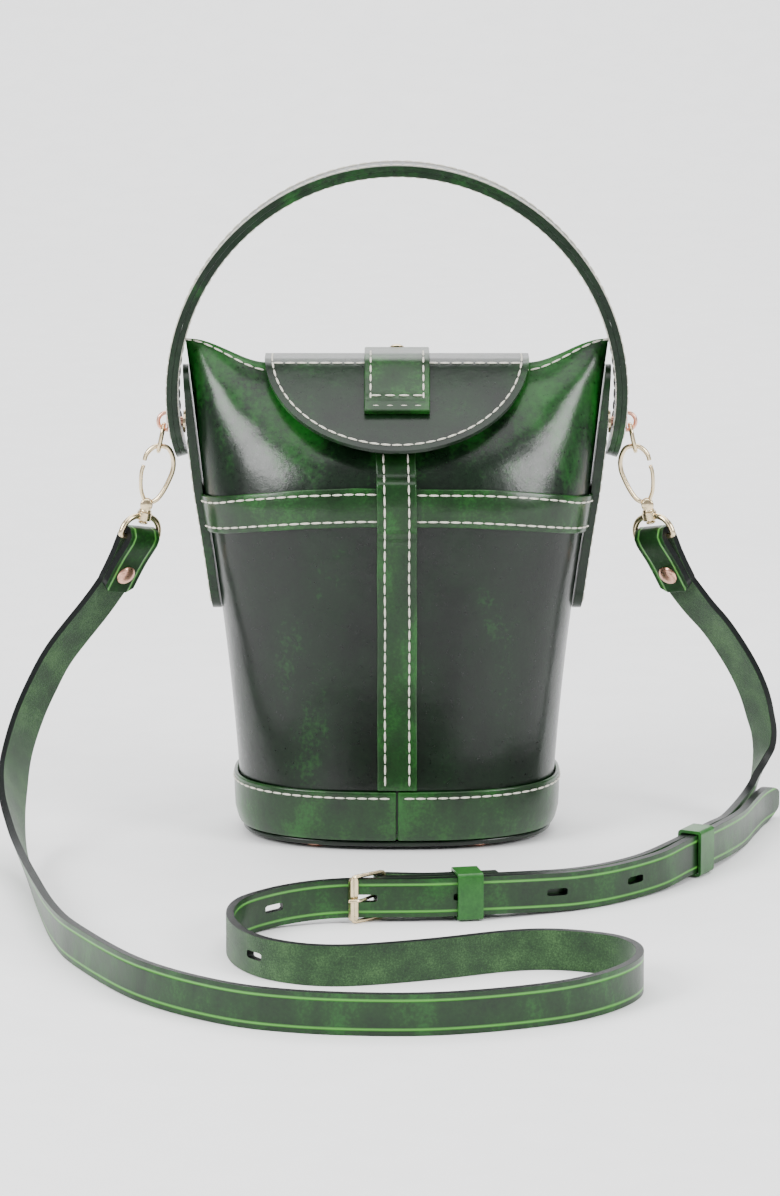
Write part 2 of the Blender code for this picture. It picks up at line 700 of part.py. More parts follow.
def build_flap():
    """Build the flap, its lining, the closing tab, the anchor, the rivet and the magnets."""
    shares = (-1.0, -0.75, -0.5, -0.25, 0.0, 0.25, 0.5, 0.75, 1.0)
    for name, inset, lift, thick, material in (
            ("flap_lining", 3.0, 0.0, FLAP_LINING, LINING_HIDE),
            ("flap", 0.0, FLAP_LINING + 0.2, FLAP_THICK, BRIDLE)):
        tip = FLAP_STRAIGHT + (FLAP_HALF - inset) * 0.9965
        stations = [inset, 8.0, 16.0, 19.0, 22.0, 28.0, 35.0, 44.0, 52.0, 59.0, 64.0, tip - 1.6, tip]
        rows = [[flap_point(share * flap_half(distance, inset), distance, lift) for share in shares]
                for distance in stations]
        sheet(name, rows, thick, (0.0, 0.0, 1.0), material, grow=1.0, origin=FLAP_HINGE)
    above = FLAP_LINING + 0.2 + FLAP_THICK + 0.25
    rows = [[flap_point(x, distance, above) for x in (-TAB_HALF, 0.0, TAB_HALF)]
            for distance in (0.0, 8.0, 16.0, 19.0, 22.0, 28.0, 38.0, TAB_LENGTH)]
    sheet("closure_tab", rows, TAB_THICK, (0.0, 0.0, 1.0), BRIDLE, grow=1.0, origin=FLAP_HINGE)
    rows = [[Vector((x, y, z)) for x in (-TAB_HALF, 0.0, TAB_HALF)]
            for y, z in ((11.4, 208.6), (15.4, 206.6), (20.0, 199.8), (26.0, 191.6), (31.0, 186.4))]
    sheet("tab_anchor", rows, TAB_THICK, (0.0, 0.4, 1.0), BRIDLE, grow=1.0)
    head = [(0.0, 1.5), (1.8, 1.3), (3.2, 0.7), (3.6, 0.0), (0.0, 0.0)]
    turned("tab_rivet", head, (0.0, 14.6, 209.7), (0.0, 0.45, 0.89), GOLD, steps=14)
    distance = 42.0
    seat = flap_point(0.0, distance, -0.15)
    down = Vector((0.0, -math.sin(FLAP_SLOPE), math.cos(FLAP_SLOPE)))
    disc = [(0.0, 1.0), (7.0, 1.0), (7.0, 0.0), (0.0, 0.0)]
    upper = turned("magnet_upper", disc, seat - down, down, STEEL, steps=18)
    shift_origin(upper, FLAP_HINGE)
    level = CREASE_Z + 71.0
    turned("magnet_lower", disc, shell_at(math.pi / 2, level, FRONT, 0.15),
           shell_normal(math.pi / 2, level, FRONT), STEEL, steps=18)


def shift_origin(item, origin):
    """Hang an object on an empty parent placed on its joint."""
    holder = bpy.data.objects.new(item.name + "_pivot", None)
    holder.location = Vector(origin) * MM
    PARTS.objects.link(holder)
    item.parent = holder
    item.location = item.location - holder.location


# ---------------------------------------------------------------- handle

def handle_path():
    """List the handle's centre line from its left end over the top to its right end."""
    heights = [HANDLE_END_Z + 0.7, HANDLE_END_Z + 2.6, HANDLE_END_Z + 6.0, HANDLE_END_Z + 11.0, 184.0]
    right = [Vector((HANDLE_RADIUS - HANDLE_TUCK * (HANDLE_CENTER_Z - z) ** 2, 0.0, z)) for z in heights]
    pieces = 28
    arc = []
    for index in range(pieces + 1):
        angle = math.pi * index / pieces
        arc.append(Vector((
            HANDLE_RADIUS * math.cos(angle), 0.0, HANDLE_CENTER_Z + HANDLE_RADIUS * math.sin(angle))))
    left = [Vector((-point.x, 0.0, point.z)) for point in reversed(right)]
    return right + arc + left


def build_handle():
    """Build the two stitched plies of the handle and the studs it swings on."""
    pivot = (0.0, 0.0, HANDLE_PIVOT_Z)
    path = handle_path()
    cutter = turned("handle_bore", [(0.0, 120.0), (STUD_HOLE, 120.0), (STUD_HOLE, -120.0), (0.0, -120.0)],
                    pivot, (1.0, 0.0, 0.0), GOLD, steps=14, cutter=True)
    for name, offset, grow in (("handle_outer", 0.1, 1.0), ("handle_inner", -0.1, -1.0)):
        rows = []
        for index, point in enumerate(path):
            before = path[max(index - 1, 0)]
            after = path[min(index + 1, len(path) - 1)]
            along = (after - before).normalized()
            outward = Vector((along.z, 0.0, -along.x))
            half = HANDLE_HALF
            if index < 4 or index > len(path) - 5:
                half = rounded_share(point.z - HANDLE_END_Z, HANDLE_HALF)
            center = point + outward * offset
            rows.append([center + Vector((0.0, y, 0.0)) for y in (-half, -half / 3, half / 3, half)])
        ply = sheet(name, rows, HANDLE_PLY, (0.0, 0.0, 1.0), BRIDLE, grow=grow, origin=pivot)
        combine(ply, cutter, "DIFFERENCE")
    for side, word in ((LEFT, "left"), (RIGHT, "right")):
        axis = (side, 0.0, 0.0)
        washer = [(2.3, 1.0), (5.0, 1.0), (5.0, 0.0), (2.3, 0.0)]
        turned("handle_washer_" + word, washer, (side * 91.5, 0.0, HANDLE_PIVOT_Z), axis, GOLD, steps=16)
        build_eye_stud(side, word)


def build_eye_stud(side, word):
    """Build the stud through the handle with the half ring that carries the strap link."""
    start = 91.5
    face = 99.1
    profile = [(0.0, face + 0.5), (4.7, face + 0.5), (4.7, face), (STUD_RADIUS, face), (STUD_RADIUS, start), (0.0, start)]
    profile = [(radius, height - start) for radius, height in profile]
    origin = (side * start, 0.0, HANDLE_PIVOT_Z)
    stud = turned("eye_stud_" + word, profile, origin, (side, 0.0, 0.0), COPPER, steps=16)
    eye_radius = 3.8
    points = [(side * (face + 0.2), 0.0, HANDLE_PIVOT_Z + eye_radius)]
    for index in range(9):
        angle = math.pi * (0.5 - index / 8)
        points.append((side * (face + 0.5 + eye_radius * math.cos(angle)), 0.0,
                       HANDLE_PIVOT_Z + eye_radius * math.sin(angle)))
    points.append((side * (face + 0.2), 0.0, HANDLE_PIVOT_Z - eye_radius))
    eye = wire("eye_ring_" + word, points, 0.85, COPPER, origin=origin, cutter=True)
    combine(stud, eye, "UNION")


# ---------------------------------------------------------------- strap hardware

def build_link(side, word):
    """Build the oval link that hangs in the eye."""
    top = mirrored(LINK_TOP, side)
    bottom = mirrored(LINK_BOTTOM, side)
    down = (bottom - top).normalized()
    middle = (top + bottom) / 2.0
    half_y = 3.55
    straight = (bottom - top).length / 2.0 - half_y
    points = []
    for end in (1.0, -1.0):
        for index in range(7):
            angle = math.pi * index / 6
            y = half_y * math.cos(angle) * end
            points.append(middle + Vector((0.0, y, 0.0)) + down * (straight + half_y * math.sin(angle)) * end)
    wire("link_" + word, points, 0.95, GOLD, origin=top, closed=True)


HOOK_OUTLINE = (
    (109.5, 162.9), (108.9, 165.0), (107.2, 167.3), (104.6, 169.0), (101.6, 169.1), (99.2, 168.2), (97.6, 165.6),
    (96.9, 162.0), (97.4, 158.0), (99.2, 153.6), (101.4, 149.4), (103.9, 146.0), (107.4, 144.0))


def build_hook(side, word):
    """Build the snap hook: frame with swivel post, gate and gate pin."""
    pivot = mirrored(HOOK_PIVOT, side)
    axis = mirrored(SWIVEL_AXIS, side).normalized()
    crossing = mirrored((103.3, 0.0, 169.1), side)
    points = [(side * x, 0.0, z) for x, z in HOOK_OUTLINE]
    frame = wire("hook_frame_" + word, points, HOOK_WIRE, GOLD, origin=crossing)
    post = [(0.0, 3.4), (2.7, 3.4), (2.7, -3.0), (1.2, -3.2), (1.2, -7.6), (2.1, -7.6), (2.1, -8.6), (0.0, -8.6)]
    body = turned("hook_body_" + word, post, pivot, -axis, GOLD, steps=14, cutter=True)
    combine(frame, body, "UNION")
    slot = block("gate_slot_" + word, pivot + mirrored((1.2, 0.0, 1.2), side), (7.0, 2.1, 7.4))
    combine(frame, slot, "DIFFERENCE")
    bore = turned("pin_bore_" + word, [(0.0, 6.0), (0.85, 6.0), (0.85, -6.0), (0.0, -6.0)], pivot,
                  (0.0, 1.0, 0.0), GOLD, steps=12, cutter=True)
    combine(frame, bore, "DIFFERENCE")
    pin = turned("gate_pin_" + word, [(0.0, 2.9), (0.7, 2.9), (0.7, -2.9), (0.0, -2.9)], pivot,
                 (0.0, 1.0, 0.0), GOLD, steps=12)
    shift_origin(pin, crossing)
    gate_line = ((109.9, 160.7), (110.9, 157.5), (111.2, 153.0), (110.9, 149.0), (109.5, 144.9))
    points = [(side * x, 0.0, z) for x, z in gate_line]
    gate = wire("hook_gate_" + word, points, 0.85, GOLD, origin=pivot)
    hub = turned("gate_hub_" + word, [(0.0, 0.85), (1.9, 0.85), (1.9, -0.85), (0.0, -0.85)], pivot,
                 (0.0, 1.0, 0.0), GOLD, steps=12, cutter=True)
    combine(gate, hub, "UNION")
    hole = turned("gate_hole_" + word, [(0.0, 3.0), (1.0, 3.0), (1.0, -3.0), (0.0, -3.0)], pivot,
                  (0.0, 1.0, 0.0), GOLD, steps=12, cutter=True)
    combine(gate, hole, "DIFFERENCE")


def block(name, center, size):
    """Make a plain box cutter."""
    mesh = bpy.data.meshes.new(name)
    work = bmesh.new()
    bmesh.ops.create_cube(work, size=1.0)
    bmesh.ops.scale(work, vec=size, verts=work.verts)
    work.to_mesh(mesh)
    work.free()
    return link_object(name, mesh, GOLD, center, cutter=True)


def build_ring(side, word):
    """Build the D-ring with its swivel barrel."""
    top = mirrored(RING_TOP, side)
    down = mirrored(RING_DOWN, side).normalized()
    bar = mirrored(RING_BAR, side)
    bar = (bar - down * bar.dot(down)).normalized()
    half = [(0.0, 0.0), (3.6, 0.3), (7.0, 1.7), (9.4, 4.3), (10.3, 7.4), (10.2, 9.0), (9.2, RING_HEIGHT)]
    corners = half + [(-across, drop) for across, drop in reversed(half[1:])]
    points = [top + bar * across + down * drop for across, drop in corners]
    ring = wire("swivel_ring_" + word, points, RING_WIRE, GOLD, origin=top, closed=True)
    axis = mirrored(SWIVEL_AXIS, side).normalized()
    barrel = turned("ring_barrel_" + word, [(0.0, 1.8), (3.2, 1.8), (3.2, -1.8), (0.0, -1.8)], top, axis,
                    GOLD, steps=14, cutter=True)
    combine(ring, barrel, "UNION")
    bore = turned("ring_bore_" + word, [(0.0, 4.0), (1.6, 4.0), (1.6, -4.0), (0.0, -4.0)], top, axis,
                  GOLD, steps=14, cutter=True)
    combine(ring, bore, "DIFFERENCE")


def fold_frame(side):
    """Give the ring bar's centre and the folded end's directions: along, across and to the front."""
    down = mirrored(RING_DOWN, side).normalized()
    bar = mirrored(RING_BAR, side)
    bar = (bar - down * bar.dot(down)).normalized()
    center = mirrored(RING_TOP, side) + down * RING_HEIGHT
    along = mirrored(FOLD_DOWN, side)
    along = (along - bar * along.dot(bar)).normalized()
    front = along.cross(bar)
    if front.y > 0.0:
        front = -front
    return center, along, bar, front


def build_fold(side, word):
    """Build the folded strap end round the ring's bar and the rivet through its two plies."""
    center, along, bar, front = fold_frame(side)
    wrap = RING_WIRE + 0.35 + STRAP_THICK / 2.0
    near = PLY_NEAR
    outer = [(FOLD_LENGTH, near), (18.0, near), (12.0, near + 0.2), (6.0, near + 0.9), (0.0, wrap)]
    turn = [(-wrap * math.sin(angle), wrap * math.cos(angle))
            for angle in (math.radians(degrees) for degrees in (30, 60, 90, 120, 150))]
    line = outer + turn + [(drop, -away) for drop, away in reversed(outer)]
    rows = []
    for index, (drop, away) in enumerate(line):
        half = STRAP_HALF if index > 0 else STRAP_HALF - 1.5
        middle = center + along * drop + front * away
        rows.append([middle + bar * x for x in (-half, 0.0, half)])
    fold = sheet("strap_fold_" + word, rows, STRAP_THICK, front, STRAP_HIDE, grow=0.0,
                 origin=mirrored(LINK_TOP, side))
    seat = center + along * 18.0
    bore = turned("rivet_bore_" + word, [(0.0, 9.0), (1.7, 9.0), (1.7, -9.0), (0.0, -9.0)], seat, front,
                  GOLD, steps=12, cutter=True)
    combine(fold, bore, "DIFFERENCE")
    stack = near + STRAP_THICK / 2.0 + 0.3
    profile = [(0.0, stack + 1.6), (2.4, stack + 1.4), (4.0, stack + 0.8), (4.5, stack), (1.4, stack),
               (1.4, -stack), (3.6, -stack), (3.4, -stack - 0.7), (0.0, -stack - 0.9)]
    rivet = turned("strap_rivet_" + word, profile, seat, front, COPPER, steps=16)
    shift_origin(rivet, mirrored(LINK_TOP, side))


# ---------------------------------------------------------------- shoulder strap

class Route:
    """A strap's centre line and width direction, read by distance along it."""

    def __init__(self, stations, spans=14):
        self.samples = smooth(stations, spans)
        self.lengths = [0.0]
        for first, second in zip(self.samples, self.samples[1:]):
            step = (Vector(second[:3]) - Vector(first[:3])).length
            self.lengths.append(self.lengths[-1] + step)
        self.length = self.lengths[-1]

    def raw(self, distance):
        """Read the six numbers at a distance."""
        distance = min(max(distance, 0.0), self.length)
        low = 0
        high = len(self.lengths) - 1
        while high - low > 1:
            middle = (low + high) // 2
            if self.lengths[middle] <= distance:
                low = middle
            else:
                high = middle
        span = self.lengths[high] - self.lengths[low]
        share = (distance - self.lengths[low]) / span if span > 0.0 else 0.0
        return [a + (b - a) * share for a, b in zip(self.samples[low], self.samples[high])]

    def frame(self, distance):
        """Give the centre, the direction along and the unit direction across at a distance."""
        values = self.raw(distance)
        along = (Vector(self.raw(distance + 1.5)[:3]) - Vector(self.raw(distance - 1.5)[:3])).normalized()
        across = Vector(values[3:])
        across = (across - along * across.dot(along)).normalized()
        return Vector(values[:3]), along, across

    def find(self, x, low, high):
        """Find the distance between two limits at which the line reaches an x position."""
        steps = 400
        best = low
        gap = 1e9
        for index in range(steps + 1):
            distance = low + (high - low) * index / steps
            miss = abs(self.raw(distance)[0] - x)
            if miss < gap:
                gap = miss
                best = distance
        return best


def build_ribbon(name, route, slots, half_width_at, fine=SLOT_HALF_LENGTH):
    """Build a flat strap along a route, with slots given as (start, end) distances."""
    marks = {0.0, STRAIGHT_START, route.length}
    count = int(route.length / STATION)
    for index in range(1, count):
        marks.add(route.length * index / count)
    for start, end in slots:
        marks = {mark for mark in marks if not start - 3.0 < mark < end + 3.0 or mark in (0.0, route.length)}
        marks.update((start, end))
        inner = max(round((end - start) / fine), 1)
        marks.update(start + (end - start) * index / inner for index in range(1, inner))
    marks.update(half_width_at.marks)
    marks = sorted(marks)
    rows = []
    for mark in marks:
        center, along, across = route.frame(mark)
        half = half_width_at(mark)
        lowest = center.z - half * abs(across.z) - STRAP_THICK / 2.0 * abs(along.cross(across).z)
        center.z += max(FLOOR_CLEARANCE - lowest, 0.0)
        rows.append([center + across * x for x in (-half, -SLOT_HALF_WIDTH, SLOT_HALF_WIDTH, half)])

    def in_slot(row, column):
        middle = (marks[row] + marks[row + 1]) / 2.0
        return column == 1 and any(start < middle < end for start, end in slots)

    middle = len(rows) // 2
    along = rows[middle][1] - rows[middle - 1][1]
    across = rows[middle][2] - rows[middle][1]
    return sheet(name, rows, STRAP_THICK, along.cross(across), STRAP_HIDE, grow=0.0, skip=in_slot)


class TipWidth:
    """Half width of a strap that narrows toward its free end."""

    def __init__(self, length, taper):
        self.length = length
        self.taper = taper
        self.marks = [length - taper, length - taper * 0.45] if taper > 0.0 else []

    def __call__(self, distance):
        left = self.length - distance
        if self.taper <= 0.0 or left >= self.taper:
            return STRAP_HALF
        return 3.0 + (STRAP_HALF - 3.0) * math.sqrt(left / self.taper)


def beside(route, distance, offset):
    """Point beside a route on its bag side, with an upright width direction."""
    center, along, across = route.frame(distance)
    flat = Vector((along.x, along.y, 0.0)).normalized()
    away = Vector((-flat.y, flat.x, 0.0))
    point = center + away * offset
    return (point.x, point.y, point.z, 0.0, 0.0, 1.0)


def strap_start(side):
    """First two stations of a strap, straight on from the end of its folded ply."""
    center, along, bar, front = fold_frame(side)
    base = center - front * PLY_NEAR
    return tuple((*(base + along * (FOLD_LENGTH + ahead)), *bar) for ahead in (STRAP_GAP, STRAIGHT_START + STRAP_GAP + 1.0))


def build_straps():
    """Build both strap pieces and return the long strap's route and key distances."""
    long_route = Route(strap_start(LEFT) + LONG_ROUTE)
    back_run = long_route.length - 430.0
    prong = long_route.find(-12.6, back_run, long_route.length)
    slots = []
    for index in range(-3, 4):
        center = prong + index * SLOT_PITCH
        slots.append((center - SLOT_HALF_LENGTH, center + SLOT_HALF_LENGTH))
    build_ribbon("strap_long", long_route, slots, TipWidth(long_route.length, 15.0))

    join = long_route.find(SHORT_JOIN_X, prong, long_route.length)
    heel = long_route.find(HEEL_BAR[0], prong - 30.0, prong + 60.0)
    stations = list(strap_start(RIGHT) + SHORT_ROUTE)
    count = 9
    for index in range(count + 1):
        distance = join + (heel + 16.0 - join) * index / count
        stations.append(beside(long_route, distance, PLY_STEP))
    heel_x, heel_y = HEEL_BAR
    wrap = 1.0 + 0.35 + STRAP_THICK / 2.0
    height = stations[-1][2]
    for degrees in (-90, -135, -180, -225, -270):
        angle = math.radians(degrees)
        stations.append((heel_x + wrap * math.cos(angle), heel_y + wrap * math.sin(angle), height, 0.0, 0.0, 1.0))
    end = long_route.find(FOLD_BACK_X, prong, long_route.length)
    for index in range(4):
        distance = heel + 16.0 + (end - heel - 16.0) * index / 3
        stations.append(beside(long_route, distance, 2.0 * PLY_STEP))
    short_route = Route(stations)
    bend = short_route.find(heel_x - wrap, short_route.length - 80.0, short_route.length)
    slots = [(bend - 9.0, bend + 9.0)]
    width = TipWidth(short_route.length, 0.0)
    width.marks = [bend + shift for shift in (-18.0, 16.0)]
    build_ribbon("strap_short", short_route, slots, width, fine=1.8)
    return long_route, prong


def rounded_box(half_x, half_y, radius):
    """List the outline of a rectangle with cut corners."""
    return [
        (half_x - radius, half_y), (-half_x + radius, half_y), (-half_x, half_y - radius), (-half_x, -half_y + radius),
        (-half_x + radius, -half_y), (half_x - radius, -half_y), (half_x, -half_y + radius), (half_x, half_y - radius)]


def build_keeper(name, route, distance, plies, width):
    """Build a keeper loop round a number of plies."""
    center, along, across = route.frame(distance)
    flat = Vector((along.x, along.y, 0.0)).normalized()
    away = Vector((-flat.y, flat.x, 0.0))
    wall = 1.4
    half_stack = (STRAP_THICK + (plies - 1) * PLY_STEP) / 2.0 + 0.5
    half_height = STRAP_HALF + 0.4
    middle = center + away * (plies - 1) * PLY_STEP / 2.0
    spin = Matrix((away, Vector((0.0, 0.0, 1.0)), flat)).transposed()
    if spin.determinant() < 0.0:
        spin = Matrix((away, Vector((0.0, 0.0, 1.0)), -flat)).transposed()
    loop_frame(name, rounded_box(half_stack + wall, half_height + wall, 1.2),
               rounded_box(half_stack, half_height, 0.3), width, spin, middle, STRAP_HIDE)


def build_buckle(height):
    """Build the buckle frame round the strap and its prong."""
    heel = Vector((HEEL_BAR[0], HEEL_BAR[1], height))
    outer = Vector((OUTER_BAR[0], OUTER_BAR[1], height))
    half = 9.3
    toward = (outer - heel).normalized()
    up = Vector((0.0, 0.0, 1.0))
    points = [
        heel - up * (half - 0.6), heel + up * (half - 0.6), heel + toward * 0.6 + up * half,
        outer - toward * 0.8 + up * half, outer + up * (half - 0.8), outer - up * (half - 0.8),
        outer - toward * 0.8 - up * half, heel + toward * 0.6 - up * half]
    wire("buckle_frame", points, 0.85, GOLD, origin=heel, closed=True)
    arm = [(-7.6, -163.0), (-10.2, -166.0), (-13.2, -171.0), (-16.2, -174.3), (-19.8, -174.6)]
    points = [Vector((x, y, height)) for x, y in reversed(arm)]
    ring = [heel + Vector((1.95 * math.cos(math.radians(angle)), 1.95 * math.sin(math.radians(angle)), 0.0))
            for angle in (215, 170, 125, 80, 35, -10, -55)]
    wire("buckle_prong", points + ring, 0.65, GOLD, origin=heel)


def build_strap():
    """Build the whole shoulder strap."""
    route, prong = build_straps()
    build_keeper("keeper_fixed", route, route.find(29.4, prong, route.length), 3, 10.5)
    build_keeper("keeper_sliding", route, route.find(127.8, prong, route.length), 2, 13.0)
    build_buckle(10.2)


def main():
    """Build every part of the bag."""
    build_shell()
    build_base_band()
    build_bands()
    build_side_strips()
    build_flap()
    build_handle()
    for side, word in ((LEFT, "left"), (RIGHT, "right")):
        build_link(side, word)
        build_hook(side, word)
        build_ring(side, word)
        build_fold(side, word)
    build_strap()


main()
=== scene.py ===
"""Bucket bag with a clip-on shoulder strap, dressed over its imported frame.

The row frame's origin is on the floor under the middle of the base: X runs left to right,
Y front to back and Z up. Sizes are in millimetres and become metres when a mesh is made.
"""

import logging
import math
from dataclasses import dataclass, field
from enum import Enum
from typing import Callable, Iterable, Optional, Sequence

import bmesh
import bpy
from mathutils import Matrix, Vector, noise


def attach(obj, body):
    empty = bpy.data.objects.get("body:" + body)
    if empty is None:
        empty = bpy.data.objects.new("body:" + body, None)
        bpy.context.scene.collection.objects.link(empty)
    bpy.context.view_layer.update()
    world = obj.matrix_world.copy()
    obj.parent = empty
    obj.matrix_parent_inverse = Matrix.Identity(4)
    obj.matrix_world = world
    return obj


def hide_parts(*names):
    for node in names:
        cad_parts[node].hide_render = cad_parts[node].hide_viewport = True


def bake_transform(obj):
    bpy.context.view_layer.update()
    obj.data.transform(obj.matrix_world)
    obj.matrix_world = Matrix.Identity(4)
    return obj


MM = 0.001
LOG = logging.getLogger("bucket_bag")

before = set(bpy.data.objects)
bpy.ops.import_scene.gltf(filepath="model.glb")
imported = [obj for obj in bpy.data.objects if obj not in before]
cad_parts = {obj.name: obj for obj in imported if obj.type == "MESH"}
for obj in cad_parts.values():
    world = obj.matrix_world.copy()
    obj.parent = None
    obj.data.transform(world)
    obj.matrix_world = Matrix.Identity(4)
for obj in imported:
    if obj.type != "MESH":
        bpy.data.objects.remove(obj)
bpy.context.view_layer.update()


class Side(Enum):
    """Left or right half of the bag."""

    LEFT = -1
    RIGHT = 1

    @property
    def word(self) -> str:
        """Name ending for the side."""
        return self.name.lower()


class Face(Enum):
    """Front or back of the bag."""

    FRONT = -1
    BACK = 1

    @property
    def word(self) -> str:
        """Name ending for the face."""
        return self.name.lower()


# ---------------------------------------------------------------- finishes

class Nodes:
    """Small helper round a material's node tree."""

    def __init__(self, name: str) -> None:
        """Make an empty Principled material.

        Args:
            name: Name of the material.
        """
        self.material = bpy.data.materials.new(name)
        self.material.use_nodes = True
        self.tree = self.material.node_tree
        self.shader = self.tree.nodes["Principled BSDF"]

    def add(self, kind: str, **settings: object) -> bpy.types.Node:
        """Add a node.

        Args:
            kind: Blender's node type.
            **settings: Properties set on the node.

        Returns:
            The new node.
        """
        node = self.tree.nodes.new(kind)
        for key, value in settings.items():
            setattr(node, key, value)
        return node

    def join(self, start: bpy.types.NodeSocket, end: bpy.types.NodeSocket) -> None:
        """Link two sockets."""
        self.tree.links.new(start, end)

    def object_noise(self, scale: float, detail: float = 4.0, stretch: Sequence[float] = (1.0, 1.0, 1.0),
                     rough: float = 0.5) -> bpy.types.NodeSocket:
        """Make noise in object coordinates.

        Args:
            scale: Features per metre.
            detail: Octaves.
            stretch: Scale along each axis.
            rough: Roughness of the octaves.

        Returns:
            The noise value's socket.
        """
        where = self.add("ShaderNodeTexCoord")
        place = self.add("ShaderNodeMapping")
        place.inputs["Scale"].default_value = stretch
        texture = self.add("ShaderNodeTexNoise")
        texture.inputs["Scale"].default_value = scale
        texture.inputs["Detail"].default_value = detail
        texture.inputs["Roughness"].default_value = rough
        self.join(where.outputs["Object"], place.inputs["Vector"])
        self.join(place.outputs["Vector"], texture.inputs["Vector"])
        return texture.outputs["Fac"]

    def ramp(self, value: bpy.types.NodeSocket, stops: Sequence[tuple[float, Sequence[float]]]) -> bpy.types.NodeSocket:
        """Map a value to colours.

        Args:
            value: Socket to map.
            stops: Position and colour of each stop.

        Returns:
            The colour socket.
        """
        node = self.add("ShaderNodeValToRGB")
        elements = node.color_ramp.elements
        while len(elements) < len(stops):
            elements.new(0.5)
        for element, (position, color) in zip(elements, stops):
            element.position = position
            element.color = (*color, 1.0)
        self.join(value, node.inputs["Fac"])
        return node.outputs["Color"]

    def math(self, operation: str, first: object, second: object = 0.0, third: object = 0.0) -> bpy.types.NodeSocket:
        """Add a math node whose inputs are sockets or numbers.

        Args:
            operation: Blender's math operation.
            first: First input.
            second: Second input.
            third: Third input.

        Returns:
            The result's socket.
        """
        node = self.add("ShaderNodeMath", operation=operation)
        for socket, value in zip(node.inputs, (first, second, third)):
            if isinstance(value, bpy.types.NodeSocket):
                self.join(value, socket)
            else:
                socket.default_value = value
        return node.outputs["Value"]

    def mix(self, factor: object, first: object, second: object) -> bpy.types.NodeSocket:
        """Mix two colours.

        Args:
            factor: Socket or number.
            first: Colour at 0.
            second: Colour at 1.

        Returns:
            The mixed colour's socket.
        """
        node = self.add("ShaderNodeMix", data_type="RGBA")
        inputs = {"factor": node.inputs[0], "first": node.inputs[6], "second": node.inputs[7]}
        for key, value in (("factor", factor), ("first", first), ("second", second)):
            if isinstance(value, bpy.types.NodeSocket):
                self.join(value, inputs[key])
            else:
                inputs[key].default_value = value if key == "factor" else (*value, 1.0)
        return node.outputs[2]

    def bump(self, height: bpy.types.NodeSocket, strength: float, distance: float,
             below: Optional[bpy.types.NodeSocket] = None) -> bpy.types.NodeSocket:
        """Add a bump node and return its normal."""
        node = self.add("ShaderNodeBump")
        node.inputs["Strength"].default_value = strength
        node.inputs["Distance"].default_value = distance
        self.join(height, node.inputs["Height"])
        if below is not None:
            self.join(below, node.inputs["Normal"])
        return node.outputs["Normal"]


